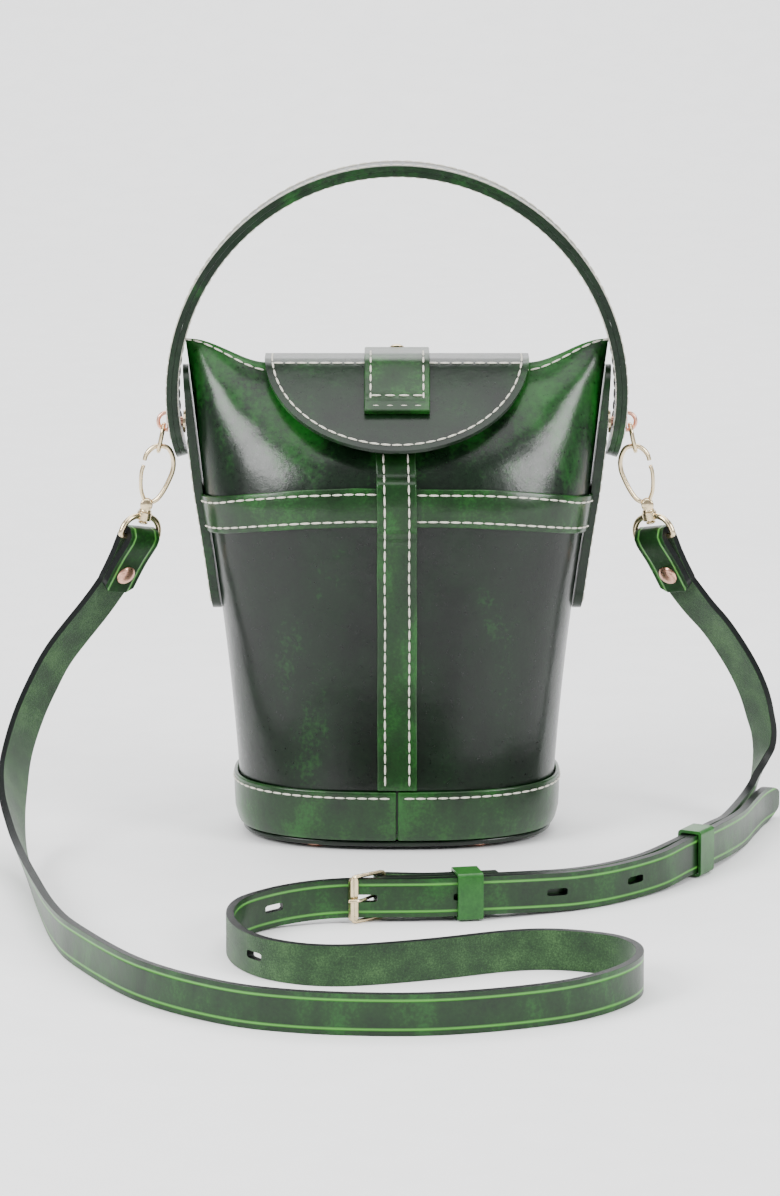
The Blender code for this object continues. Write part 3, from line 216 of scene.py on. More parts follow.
@dataclass(frozen=True)
class Leather:
    """Dyed leather: mottled colour, fine grain and a wax coat."""

    name: str
    deep: tuple[float, float, float]
    middle: tuple[float, float, float]
    bright: tuple[float, float, float]
    roughness: float = 0.30
    coat: float = 0.5
    mottle: float = 38.0
    creases: bool = False
    # Strength of the painted highlight that lightens the top of the body.
    crown: float = 0.0
    stops: tuple[float, float, float] = (0.36, 0.56, 0.82)

    def build(self) -> bpy.types.Material:
        """Build the material.

        Returns:
            The finished material.
        """
        nodes = Nodes(self.name)
        cloud = nodes.object_noise(self.mottle, 8.0, (1.0, 1.0, 0.55), 0.62)
        speck = nodes.object_noise(self.mottle * 14.0, 3.0, rough=0.6)
        blend = nodes.math("MULTIPLY_ADD", speck, 0.28, nodes.math("MULTIPLY", cloud, 0.78))
        # Pointiness paints light into the colour: a painted highlight on convex edges and ridges, painted shade in
        # hollows and inner bends.
        edge = nodes.add("ShaderNodeNewGeometry").outputs["Pointiness"]
        lightness_with_painted_light = nodes.math("MULTIPLY_ADD", nodes.math("SUBTRACT", edge, 0.5), 1.2, blend)
        # Painted highlight on the top of the body, when asked for.
        if self.crown > 0.0:
            lightness_with_painted_light = self._crown(nodes, lightness_with_painted_light)
        color = nodes.ramp(lightness_with_painted_light, tuple(zip(self.stops, (self.deep, self.middle, self.bright))))
        height = nodes.object_noise(900.0, 5.0, rough=0.65)
        normal = nodes.bump(height, 0.10, 0.0006)
        waves = nodes.object_noise(60.0, 3.0)
        normal = nodes.bump(waves, 0.22, 0.0016, normal)
        if self.creases:
            color, normal = self._crease_lines(nodes, color, normal)
        nodes.join(color, nodes.shader.inputs["Base Color"])
        gloss = nodes.math("MULTIPLY_ADD", speck, 0.16, self.roughness)
        nodes.join(gloss, nodes.shader.inputs["Roughness"])
        nodes.shader.inputs["Coat Weight"].default_value = self.coat
        nodes.shader.inputs["Coat Roughness"].default_value = 0.12
        nodes.shader.inputs["Specular IOR Level"].default_value = 0.28
        nodes.join(normal, nodes.shader.inputs["Normal"])
        nodes.join(normal, nodes.shader.inputs["Coat Normal"])
        return nodes.material

    def _crown(self, nodes: Nodes, value: bpy.types.NodeSocket) -> bpy.types.NodeSocket:
        """Paint a highlight on the hide above the crease, lightening the top of the body where the light falls on it.

        Args:
            nodes: The material's nodes.
            value: Lightness so far.

        Returns:
            The lightness with the painted top highlight.
        """
        start, span = 0.142, 0.050
        parts = nodes.add("ShaderNodeSeparateXYZ")
        nodes.join(nodes.add("ShaderNodeTexCoord").outputs["Object"], parts.inputs["Vector"])
        rise = nodes.math("DIVIDE", nodes.math("SUBTRACT", parts.outputs["Z"], start), span)
        rise = nodes.math("MINIMUM", nodes.math("MAXIMUM", rise, 0.0), 1.0)
        return nodes.math("MULTIPLY_ADD", rise, self.crown, value)

    def _crease_lines(self, nodes: Nodes, color: bpy.types.NodeSocket,
                      normal: bpy.types.NodeSocket) -> tuple[bpy.types.NodeSocket, bpy.types.NodeSocket]:
        """Draw the line pressed along each edge of a strap.

        Args:
            nodes: The material's nodes.
            color: Colour so far.
            normal: Normal so far.

        Returns:
            The colour and normal with the lines.
        """
        line_at = 0.0056
        line_half = 0.0007
        uv = nodes.add("ShaderNodeUVMap", uv_map="route")
        parts = nodes.add("ShaderNodeSeparateXYZ")
        nodes.join(uv.outputs["UV"], parts.inputs["Vector"])
        off = nodes.math("ABSOLUTE", nodes.math("SUBTRACT", nodes.math("ABSOLUTE", parts.outputs["Y"]), line_at))
        inside = nodes.math("SMOOTH_MAX", nodes.math("SUBTRACT", 1.0, nodes.math("DIVIDE", off, line_half)), 0.0, 0.2)
        tint = nodes.mix(nodes.math("MINIMUM", nodes.math("MULTIPLY", inside, 1.1), 0.95), color, (0.090, 0.340, 0.048))
        return tint, nodes.bump(nodes.math("MULTIPLY", inside, -1.0), 0.5, 0.0004, normal)


@dataclass(frozen=True)
class Flesh:
    """The strap's fuzzy underside."""

    name: str = "strap_flesh"

    def build(self) -> bpy.types.Material:
        """Build the material.

        Returns:
            The finished material.
        """
        nodes = Nodes(self.name)
        fibers = nodes.object_noise(1400.0, 6.0, rough=0.75)
        patch = nodes.object_noise(90.0, 4.0)
        value = nodes.math("MULTIPLY_ADD", patch, 0.4, nodes.math("MULTIPLY", fibers, 0.6))
        color = nodes.ramp(value, ((0.36, (0.003, 0.014, 0.003)), (0.50, (0.010, 0.046, 0.009)),
                                   (0.66, (0.050, 0.130, 0.036))))
        nodes.join(color, nodes.shader.inputs["Base Color"])
        nodes.shader.inputs["Roughness"].default_value = 0.85
        nodes.shader.inputs["Sheen Weight"].default_value = 0.25
        nodes.join(nodes.bump(fibers, 0.5, 0.0006), nodes.shader.inputs["Normal"])
        return nodes.material


@dataclass(frozen=True)
class Metal:
    """Polished or brushed metal with a little wear."""

    name: str
    color: tuple[float, float, float]
    roughness: float

    def build(self) -> bpy.types.Material:
        """Build the material.

        Returns:
            The finished material.
        """
        nodes = Nodes(self.name)
        wear = nodes.object_noise(420.0, 5.0)
        darker = tuple(0.82 * part for part in self.color)
        nodes.join(nodes.ramp(wear, ((0.3, darker), (0.65, self.color))), nodes.shader.inputs["Base Color"])
        nodes.shader.inputs["Metallic"].default_value = 1.0
        rough = nodes.math("MULTIPLY_ADD", wear, 0.14, self.roughness - 0.05)
        nodes.join(rough, nodes.shader.inputs["Roughness"])
        nodes.join(nodes.bump(wear, 0.05, 0.0003), nodes.shader.inputs["Normal"])
        return nodes.material


@dataclass(frozen=True)
class Matte:
    """Plain matte stuff with a faint grain: thread, edge paint or board."""

    name: str
    dark: tuple[float, float, float]
    light: tuple[float, float, float]
    roughness: float
    grain: float = 1200.0

    def build(self) -> bpy.types.Material:
        """Build the material.

        Returns:
            The finished material.
        """
        nodes = Nodes(self.name)
        value = nodes.object_noise(self.grain, 3.0)
        nodes.join(nodes.ramp(value, ((0.35, self.dark), (0.65, self.light))), nodes.shader.inputs["Base Color"])
        nodes.shader.inputs["Roughness"].default_value = self.roughness
        nodes.shader.inputs["Specular IOR Level"].default_value = 0.2
        nodes.join(nodes.bump(value, 0.25, 0.0003), nodes.shader.inputs["Normal"])
        return nodes.material


class Finishes:
    """Every finish of the bag, built once."""

    def __init__(self) -> None:
        """Build the materials."""
        # The bridle leather takes a painted highlight on the top of the body.
        self.bridle = Leather("bridle_leather", (0.0008, 0.0032, 0.0012), (0.0018, 0.0100, 0.0026),
                              (0.009, 0.085, 0.009), 0.22, 0.24, crown=0.24, stops=(0.44, 0.64, 0.86)).build()
        self.band = Leather("band_leather", (0.0010, 0.0075, 0.0012), (0.0034, 0.0285, 0.0032),
                            (0.014, 0.120, 0.012), 0.26, 0.35, 60.0).build()
        self.dark = Leather("flap_leather", (0.0008, 0.0040, 0.0013), (0.0022, 0.0140, 0.0030),
                            (0.009, 0.075, 0.009), 0.22, 0.24, stops=(0.40, 0.60, 0.86)).build()
        self.grain = Leather("strap_grain", (0.0011, 0.0085, 0.0013), (0.0038, 0.0310, 0.0036),
                             (0.015, 0.125, 0.013), 0.34, 0.25, 60.0, creases=True).build()
        self.keeper = Leather("keeper_leather", (0.003, 0.025, 0.004), (0.010, 0.078, 0.009), (0.025, 0.16, 0.020),
                              0.34, 0.30, 60.0).build()
        self.flesh = Flesh().build()
        self.lining = Leather("lining_leather", (0.005, 0.020, 0.006), (0.012, 0.042, 0.013), (0.026, 0.080, 0.026),
                              0.62, 0.0, 80.0).build()
        self.edge = Matte("edge_paint", (0.0015, 0.0022, 0.0020), (0.004, 0.006, 0.005), 0.38).build()
        self.thread = Matte("waxed_thread", (0.50, 0.48, 0.40), (0.72, 0.70, 0.62), 0.7, 2500.0).build()
        self.board = Matte("base_board", (0.10, 0.075, 0.05), (0.16, 0.12, 0.085), 0.9, 300.0).build()
        self.gold = Metal("light_gold", (0.86, 0.70, 0.44), 0.20).build()
        self.copper = Metal("copper", (0.80, 0.44, 0.32), 0.26).build()
        self.steel = Metal("magnet_steel", (0.55, 0.55, 0.56), 0.35).build()

    @property
    def hide(self) -> tuple[bpy.types.Material, ...]:
        """Face, edge and back of a bridle leather piece."""
        return self.bridle, self.edge, self.bridle

    @property
    def trim(self) -> tuple[bpy.types.Material, ...]:
        """Face, edge and back of a band, strip or tab."""
        return self.band, self.edge, self.band

    @property
    def cover(self) -> tuple[bpy.types.Material, ...]:
        """Face, edge and back of the flap and the handle."""
        return self.dark, self.edge, self.dark

    @property
    def strap(self) -> tuple[bpy.types.Material, ...]:
        """Face, edge and back of the strap."""
        return self.grain, self.edge, self.flesh


# ---------------------------------------------------------------- mesh helpers

Grid = list[list[Vector]]


def ease(share: float) -> float:
    """Go from 0 to 1 with level ends."""
    share = min(max(share, 0.0), 1.0)
    return share * share * (3.0 - 2.0 * share)


def lookup(table: Sequence[tuple[float, float]], value: float) -> float:
    """Read a value from (position, value) pairs with straight lines between them."""
    if value <= table[0][0]:
        return table[0][1]
    for (low, first), (high, second) in zip(table, table[1:]):
        if value <= high:
            return first + (second - first) * (value - low) / (high - low)
    return table[-1][1]


def smooth(points: Sequence[Sequence[float]], spans: int) -> list[tuple[float, ...]]:
    """Put a Catmull-Rom curve through points.

    Args:
        points: Points of any dimension.
        spans: Pieces per gap.

    Returns:
        The points of the curve.
    """
    result = []
    padded = [points[0]] + list(points) + [points[-1]]
    for index in range(1, len(padded) - 2):
        before, start, end, after = padded[index - 1:index + 3]
        for step in range(spans):
            share = step / spans
            result.append(tuple(
                0.5 * (2.0 * b + (c - a) * share + (2.0 * a - 5.0 * b + 4.0 * c - d) * share ** 2
                       + (3.0 * b - 3.0 * c + d - a) * share ** 3)
                for a, b, c, d in zip(before, start, end, after)))
    result.append(tuple(points[-1]))
    return result


def mirrored(values: Sequence[float], side: Side) -> Vector:
    """Take a right-side point or direction to the wanted side."""
    return Vector((side.value * values[0], values[1], values[2]))


def rounded_share(distance: float, half: float) -> float:
    """Half width of a round-ended strip at a distance from its end."""
    if distance >= half:
        return half
    return math.sqrt(max(half * half - (half - distance) ** 2, 0.04))


class Maker:
    """Makes plain mesh objects from shapes in millimetres."""

    @staticmethod
    def add(name: str, mesh: bpy.types.Mesh, finishes: Iterable[bpy.types.Material]) -> bpy.types.Object:
        """Link a finished mesh given in millimetres.

        Args:
            name: Name of the piece.
            mesh: Mesh in millimetres.
            finishes: Materials in slot order.

        Returns:
            The object, at the origin.
        """
        mesh.transform(Matrix.Scale(MM, 4))
        mesh.materials.clear()
        for finish in finishes:
            mesh.materials.append(finish)
        mesh.shade_smooth()
        item = bpy.data.objects.new(name + "_look", mesh)
        bpy.context.scene.collection.objects.link(item)
        return item

    @staticmethod
    def soften(item: bpy.types.Object, width: float, segments: int = 2) -> bpy.types.Object:
        """Round a piece's edges.

        Args:
            item: The piece.
            width: Bevel width in millimetres.
            segments: Bevel segments.

        Returns:
            The same piece.
        """
        bevel = item.modifiers.new("rounding", "BEVEL")
        bevel.width = width * MM
        bevel.segments = segments
        bevel.limit_method = "ANGLE"
        bevel.angle_limit = math.radians(50.0)
        item.modifiers.new("normals", "WEIGHTED_NORMAL")
        return item

    @classmethod
    def slab(cls, name: str, outer: Grid, inner: Grid, finishes: Sequence[bpy.types.Material],
             rounding: float = 0.5) -> bpy.types.Object:
        """Loft a closed sheet between two grids of points.

        Args:
            name: Name of the piece.
            outer: Points of its face.
            inner: Points of its back.
            finishes: Face, edge and back materials.
            rounding: Bevel width in millimetres.

        Returns:
            The piece.
        """
        work = bmesh.new()
        grids = [[[work.verts.new(point) for point in row] for row in rows] for rows in (outer, inner)]

        def quad(corners: Sequence[bmesh.types.BMVert], slot: int) -> None:
            work.faces.new(corners).material_index = slot

        for slot, grid in zip((0, 2), grids):
            for row, after in zip(grid, grid[1:]):
                for index in range(len(row) - 1):
                    quad((row[index], row[index + 1], after[index + 1], after[index]), slot)
        face, back = grids
        for row in (0, -1):
            for index in range(len(face[0]) - 1):
                quad((face[row][index], face[row][index + 1], back[row][index + 1], back[row][index]), 1)
        for column in (0, -1):
            for index in range(len(face) - 1):
                quad((face[index][column], face[index + 1][column],
                      back[index + 1][column], back[index][column]), 1)
        cls.face_outward(work)
        mesh = bpy.data.meshes.new(name)
        work.to_mesh(mesh)
        work.free()
        item = cls.add(name, mesh, finishes)
        return cls.soften(item, rounding) if rounding > 0.0 else item

    @staticmethod
    def face_outward(work: bmesh.types.BMesh) -> None:
        """Turn every face of a closed body outward."""
        bmesh.ops.recalc_face_normals(work, faces=work.faces)
        if work.calc_volume(signed=True) < 0.0:
            bmesh.ops.reverse_faces(work, faces=work.faces)

    @classmethod
    def wire(cls, name: str, points: Sequence[Sequence[float]], radius: float, finish: bpy.types.Material,
             closed: bool = False, radii: Optional[Sequence[float]] = None) -> bpy.types.Object:
        """Make a round wire through points.

        Args:
            name: Name of the piece.
            points: Points in millimetres.
            radius: Radius of the wire.
            finish: Its material.
            closed: Whether the wire is a loop.
            radii: Share of the radius at each point.

        Returns:
            The piece as a mesh.
        """
        curve = bpy.data.curves.new(name, "CURVE")
        curve.dimensions = "3D"
        curve.bevel_depth = radius
        curve.bevel_resolution = 4
        curve.use_fill_caps = not closed
        spline = curve.splines.new("POLY")
        spline.points.add(len(points) - 1)
        for index, point in enumerate(points):
            spline.points[index].co = (*point, 1.0)
            spline.points[index].radius = radii[index] if radii else 1.0
        spline.use_cyclic_u = closed
        return cls.add(name, cls.from_curve(name, curve), (finish,))

    @classmethod
    def from_curve(cls, name: str, curve: bpy.types.Curve) -> bpy.types.Mesh:
        """Convert a curve into a welded mesh.

        Args:
            name: Name for the mesh.
            curve: The curve, which is dropped.

        Returns:
            The mesh.
        """
        holder = bpy.data.objects.new(name + "_curve", curve)
        bpy.context.scene.collection.objects.link(holder)
        bpy.context.view_layer.update()
        graph = bpy.context.evaluated_depsgraph_get()
        mesh = bpy.data.meshes.new_from_object(holder.evaluated_get(graph))
        bpy.data.objects.remove(holder, do_unlink=True)
        work = bmesh.new()
        work.from_mesh(mesh)
        bmesh.ops.remove_doubles(work, verts=work.verts, dist=1e-3)
        cls.face_outward(work)
        work.to_mesh(mesh)
        work.free()
        return mesh

    @classmethod
    def turned(cls, name: str, profile: Sequence[tuple[float, float]], origin: Vector, axis: Vector,
               finish: bpy.types.Material, steps: int = 32, rounding: float = 0.15) -> bpy.types.Object:
        """Turn a profile of (radius, height) about an axis.

        Args:
            name: Name of the piece.
            profile: Points from top to bottom on the outer side; both ends on the axis, or a closed ring.
            origin: Zero height on the axis.
            axis: Direction of the height.
            finish: Its material.
            steps: Segments round the axis.
            rounding: Bevel width in millimetres.

        Returns:
            The piece.
        """
        work = bmesh.new()
        rings = []
        for radius, height in profile:
            if radius == 0.0:
                rings.append([work.verts.new((0.0, 0.0, height))])
                continue
            rings.append([work.verts.new((radius * math.cos(2.0 * math.pi * step / steps),
                                          radius * math.sin(2.0 * math.pi * step / steps), height))
                          for step in range(steps)])
        pairs = list(zip(rings, rings[1:]))
        if profile[0][0] > 0.0:
            pairs.append((rings[-1], rings[0]))
        for first, second in pairs:
            for step in range(steps):
                after = (step + 1) % steps
                corners = [first[step % len(first)], first[after % len(first)],
                           second[after % len(second)], second[step % len(second)]]
                unique = list(dict.fromkeys(corners))
                if len(unique) > 2:
                    work.faces.new(unique)
        cls.face_outward(work)
        turn = Vector((0.0, 0.0, 1.0)).rotation_difference(axis.normalized()).to_matrix().to_4x4()
        bmesh.ops.transform(work, matrix=Matrix.Translation(origin) @ turn, verts=work.verts)
        mesh = bpy.data.meshes.new(name)
        work.to_mesh(mesh)
        work.free()
        item = cls.add(name, mesh, (finish,))
        return cls.soften(item, rounding) if rounding > 0.0 else item

    @classmethod
    def loop(cls, name: str, half: tuple[float, float], wall: float, depth: float, spin: Matrix,
             center: Vector, finish: bpy.types.Material, rounding: float = 0.4) -> bpy.types.Object:
        """Make a rectangular loop with rounded corners.

        Args:
            name: Name of the piece.
            half: Half of the opening's two sides.
            wall: Wall thickness.
            depth: Length through the loop.
            spin: Rotation from the drawing to the bag.
            center: Middle of the loop.
            finish: Its material.
            rounding: Bevel width in millimetres.

        Returns:
            The piece.
        """
        curve = bpy.data.curves.new(name, "CURVE")
        curve.dimensions = "2D"
        curve.fill_mode = "BOTH"
        curve.extrude = depth / 2.0
        for grow, radius in ((wall, 1.6), (0.0, 0.5)):
            outline = cls.rounded_box(half[0] + grow, half[1] + grow, radius)
            spline = curve.splines.new("POLY")
            spline.points.add(len(outline) - 1)
            for knot, (x, y) in zip(spline.points, outline):
                knot.co = (x, y, 0.0, 1.0)
            spline.use_cyclic_u = True
        mesh = cls.from_curve(name, curve)
        mesh.transform(Matrix.Translation(center) @ spin.to_4x4())
        return cls.soften(cls.add(name, mesh, (finish,)), rounding)

    @staticmethod
    def rounded_box(half_x: float, half_y: float, radius: float) -> list[tuple[float, float]]:
        """List the outline of a rectangle with round corners."""
        points = []
        for corner, (sx, sy) in enumerate(((1, 1), (-1, 1), (-1, -1), (1, -1))):
            for step in range(5):
                angle = math.pi / 2.0 * (corner + step / 4.0)
                points.append((sx * (half_x - radius) + radius * math.cos(angle),
                               sy * (half_y - radius) + radius * math.sin(angle)))
        return points


class StitchTree:
    """Geometry Nodes tree that lays thread stitches along the edges of a line mesh."""

    def __init__(self, thread: bpy.types.Material) -> None:
        """Build the tree.

        Args:
            thread: Material of the stitches.
        """
        self.tree = bpy.data.node_groups.new("stitches", "GeometryNodeTree")
        self.thread = thread
        face = self.tree.interface
        face.new_socket("Geometry", in_out="INPUT", socket_type="NodeSocketGeometry")
        self.inputs = {}
        for name, value in (("Pitch", 0.0048), ("Length", 0.0045), ("Thickness", 0.0009)):
            socket = face.new_socket(name, in_out="INPUT", socket_type="NodeSocketFloat")
            socket.default_value = value
            self.inputs[name] = socket.identifier
        face.new_socket("Geometry", in_out="OUTPUT", socket_type="NodeSocketGeometry")
        self._build()

    def _build(self) -> None:
        """Lay out the nodes."""
        new = self.tree.nodes.new
        link = self.tree.links.new
        source = new("NodeGroupInput")
        target = new("NodeGroupOutput")
        curve = new("GeometryNodeMeshToCurve")
        resample = new("GeometryNodeResampleCurve")
        resample.mode = "LENGTH"
        link(source.outputs["Geometry"], curve.inputs["Mesh"])
        link(curve.outputs["Curve"], resample.inputs["Curve"])
        link(source.outputs["Pitch"], resample.inputs["Length"])
        tangent = new("GeometryNodeInputTangent")
        align = new("FunctionNodeAlignRotationToVector")
        align.axis = "Z"
        link(tangent.outputs["Tangent"], align.inputs["Vector"])
        bead = new("GeometryNodeMeshUVSphere")
        bead.inputs["Segments"].default_value = 8
        bead.inputs["Rings"].default_value = 6
        bead.inputs["Radius"].default_value = 0.5
        size = new("ShaderNodeCombineXYZ")
        link(source.outputs["Thickness"], size.inputs["X"])
        link(source.outputs["Thickness"], size.inputs["Y"])
        link(source.outputs["Length"], size.inputs["Z"])
        place = new("GeometryNodeInstanceOnPoints")
        link(resample.outputs["Curve"], place.inputs["Points"])
        link(bead.outputs["Mesh"], place.inputs["Instance"])
        link(align.outputs["Rotation"], place.inputs["Rotation"])
        link(size.outputs["Vector"], place.inputs["Scale"])
        real = new("GeometryNodeRealizeInstances")
        shade = new("GeometryNodeSetShadeSmooth")
        paint = new("GeometryNodeSetMaterial")
        paint.inputs["Material"].default_value = self.thread
        link(place.outputs["Instances"], real.inputs["Geometry"])
        link(real.outputs["Geometry"], shade.inputs["Geometry"])
        link(shade.outputs["Geometry"], paint.inputs["Geometry"])
        link(paint.outputs["Geometry"], target.inputs["Geometry"])

    def lay(self, name: str, rows: Sequence[Sequence[Vector]], body: str) -> bpy.types.Object:
        """Lay stitches along rows of points.

        Args:
            name: Name of the piece.
            rows: Lines in millimetres.
            body: Body that the stitches ride on.

        Returns:
            One mesh with every stitch.
        """
        mesh = bpy.data.meshes.new(name + "_lines")
        points = []
        edges = []
        for row in rows:
            start = len(points)
            points += [tuple(point * MM) for point in row]
            edges += [(start + index, start + index + 1) for index in range(len(row) - 1)]
        mesh.from_pydata(points, edges, [])
        holder = bpy.data.objects.new(name + "_lines", mesh)
        bpy.context.scene.collection.objects.link(holder)
        modifier = holder.modifiers.new("stitches", "NODES")
        modifier.node_group = self.tree
        modifier[self.inputs["Pitch"]] = 0.0048
        bpy.context.view_layer.update()
        graph = bpy.context.evaluated_depsgraph_get()
        made = bpy.data.meshes.new_from_object(holder.evaluated_get(graph))
        bpy.data.objects.remove(holder, do_unlink=True)
        item = bpy.data.objects.new(name, made)
        bpy.context.scene.collection.objects.link(item)
        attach(item, body)
        return item


# ---------------------------------------------------------------- shell

@dataclass(frozen=True)
class Shell:
    """Shape of the bag's outer face."""

    floor: float = 4.9
    crease: float = 150.0
    square: float = 2.5
    ear_half: float = 91.5
    ear_z: float = 216.0
    mouth_z: float = 205.0
    mouth_half_depth: float = 8.0
    mouth_flat: float = 56.0
    ridge_z: float = 168.5
    ridge_half_depth: float = 48.0
    foot: tuple[tuple[float, float], ...] = ((4.9, 66.0), (8.0, 67.6), (12.0, 68.6), (18.0, 68.9), (27.0, 69.0))
    depths: tuple[tuple[float, float], ...] = ((4.9, 46.5), (8.0, 48.2), (12.0, 49.3), (27.0, 50.0), (150.0, 48.5))
    seam: float = 0.2

    def half_width(self, height: float) -> float:
        """Half width of the outer face at a height."""
        if height <= 27.0:
            return lookup(self.foot, height)
        if height <= self.crease:
            return 69.0 + 0.0697 * (height - 27.0) + 0.000392 * (height - 27.0) ** 2
        return 83.5 + 0.1154 * (height - self.crease)

    def point(self, angle: float, level: float, face: Face) -> Vector:
        """Point of the outer face.

        Args:
            angle: From 0 at the right seam to pi at the left one.
            level: Height up to the crease, then 100 units from the crease over the ridge to the mouth.
            face: Front or back.

        Returns:
            The point in millimetres.
        """
        power = 2.0 / self.square
        cosine = math.cos(angle)
        across = math.copysign(abs(cosine) ** power, cosine)
        inward = max(math.sin(angle), 0.0) ** power
        base = min(level, self.crease)
        depth = self.seam + (lookup(self.depths, base) - self.seam) * inward
        wall = Vector((self.half_width(base) * across, face.value * depth, base))
        if level <= self.crease:
            return wall
        share = (level - self.crease) / 100.0
        reach = abs(across)
        ridge = Vector((
            (self.ear_half - 0.5) * across,
            face.value * (self.seam + self.ridge_half_depth * max(1.0 - reach ** 2.2, 0.0) ** 0.9),
            self.ridge_z + (self.ear_z - 1.0 - self.ridge_z) * reach ** 2.3))
        mouth_x = self.ear_half * across
        rise = ease((abs(mouth_x) - self.mouth_flat) / (self.ear_half - 1.5 - self.mouth_flat))
        mouth = Vector((
            mouth_x, face.value * (self.seam + self.mouth_half_depth * (1.0 - across * across)),
            self.mouth_z + (self.ear_z - self.mouth_z) * rise))
        lower = wall.lerp(ridge, 0.8)
        upper = mouth.lerp(ridge, 0.8)
        rest = 1.0 - share
        return (rest ** 3 * wall + 3.0 * rest ** 2 * share * lower
                + 3.0 * rest * share ** 2 * upper + share ** 3 * mouth)

    def normal(self, angle: float, level: float, face: Face) -> Vector:
        """Outward normal of the outer face."""
        around = (self.point(min(angle + 0.03, math.pi), level, face)
                  - self.point(max(angle - 0.03, 0.0), level, face))
        upward = (self.point(angle, min(level + 0.6, self.crease + 100.0), face)
                  - self.point(angle, max(level - 0.6, self.floor), face))
        return around.cross(upward).normalized() * face.value

    def at(self, angle: float, level: float, face: Face, lift: float) -> Vector:
        """Point a distance outside the outer face."""
        return self.point(angle, level, face) + self.normal(angle, level, face) * lift

    def level_at(self, angle: float, height: float, face: Face) -> float:
        """Level that reaches a height on one column."""
        if height <= self.crease:
            return height
        low, high = self.crease, self.crease + 100.0
        for _ in range(24):
            middle = (low + high) / 2.0
            if self.point(angle, middle, face).z < height:
                low = middle
            else:
                high = middle
        return (low + high) / 2.0

    def sag(self, point: Vector, level: float) -> Vector:
        """Soft unevenness of the moulded leather at a point."""
        amount = 0.25 + 0.9 * ease((level - 140.0) / 50.0) * ease((252.0 - level) / 30.0)
        wave = noise.noise_vector(point * 0.028) * amount
        return wave + noise.noise_vector(point * 0.075 + Vector((7.0, 3.0, 1.0))) * amount * 0.35

    def grid(self, angles: Sequence[float], levels: Sequence[float], face: Face, lift: float) -> Grid:
        """Grid of points outside the outer face, kept on its own side of the seam."""
        rows = []
        for level in levels:
            row = []
            for angle in angles:
                point = self.at(angle, level, face, lift)
                fade = ease(math.sin(angle) / 0.35)
                point += self.sag(self.point(angle, level, face), level) * fade
                point.y = face.value * max(face.value * point.y, self.seam)
                row.append(point)
            rows.append(row)
        return rows


def spread(start: float, end: float, count: int) -> list[float]:
    """Evenly spaced numbers, both ends included."""
    return [start + (end - start) * index / count for index in range(count + 1)]


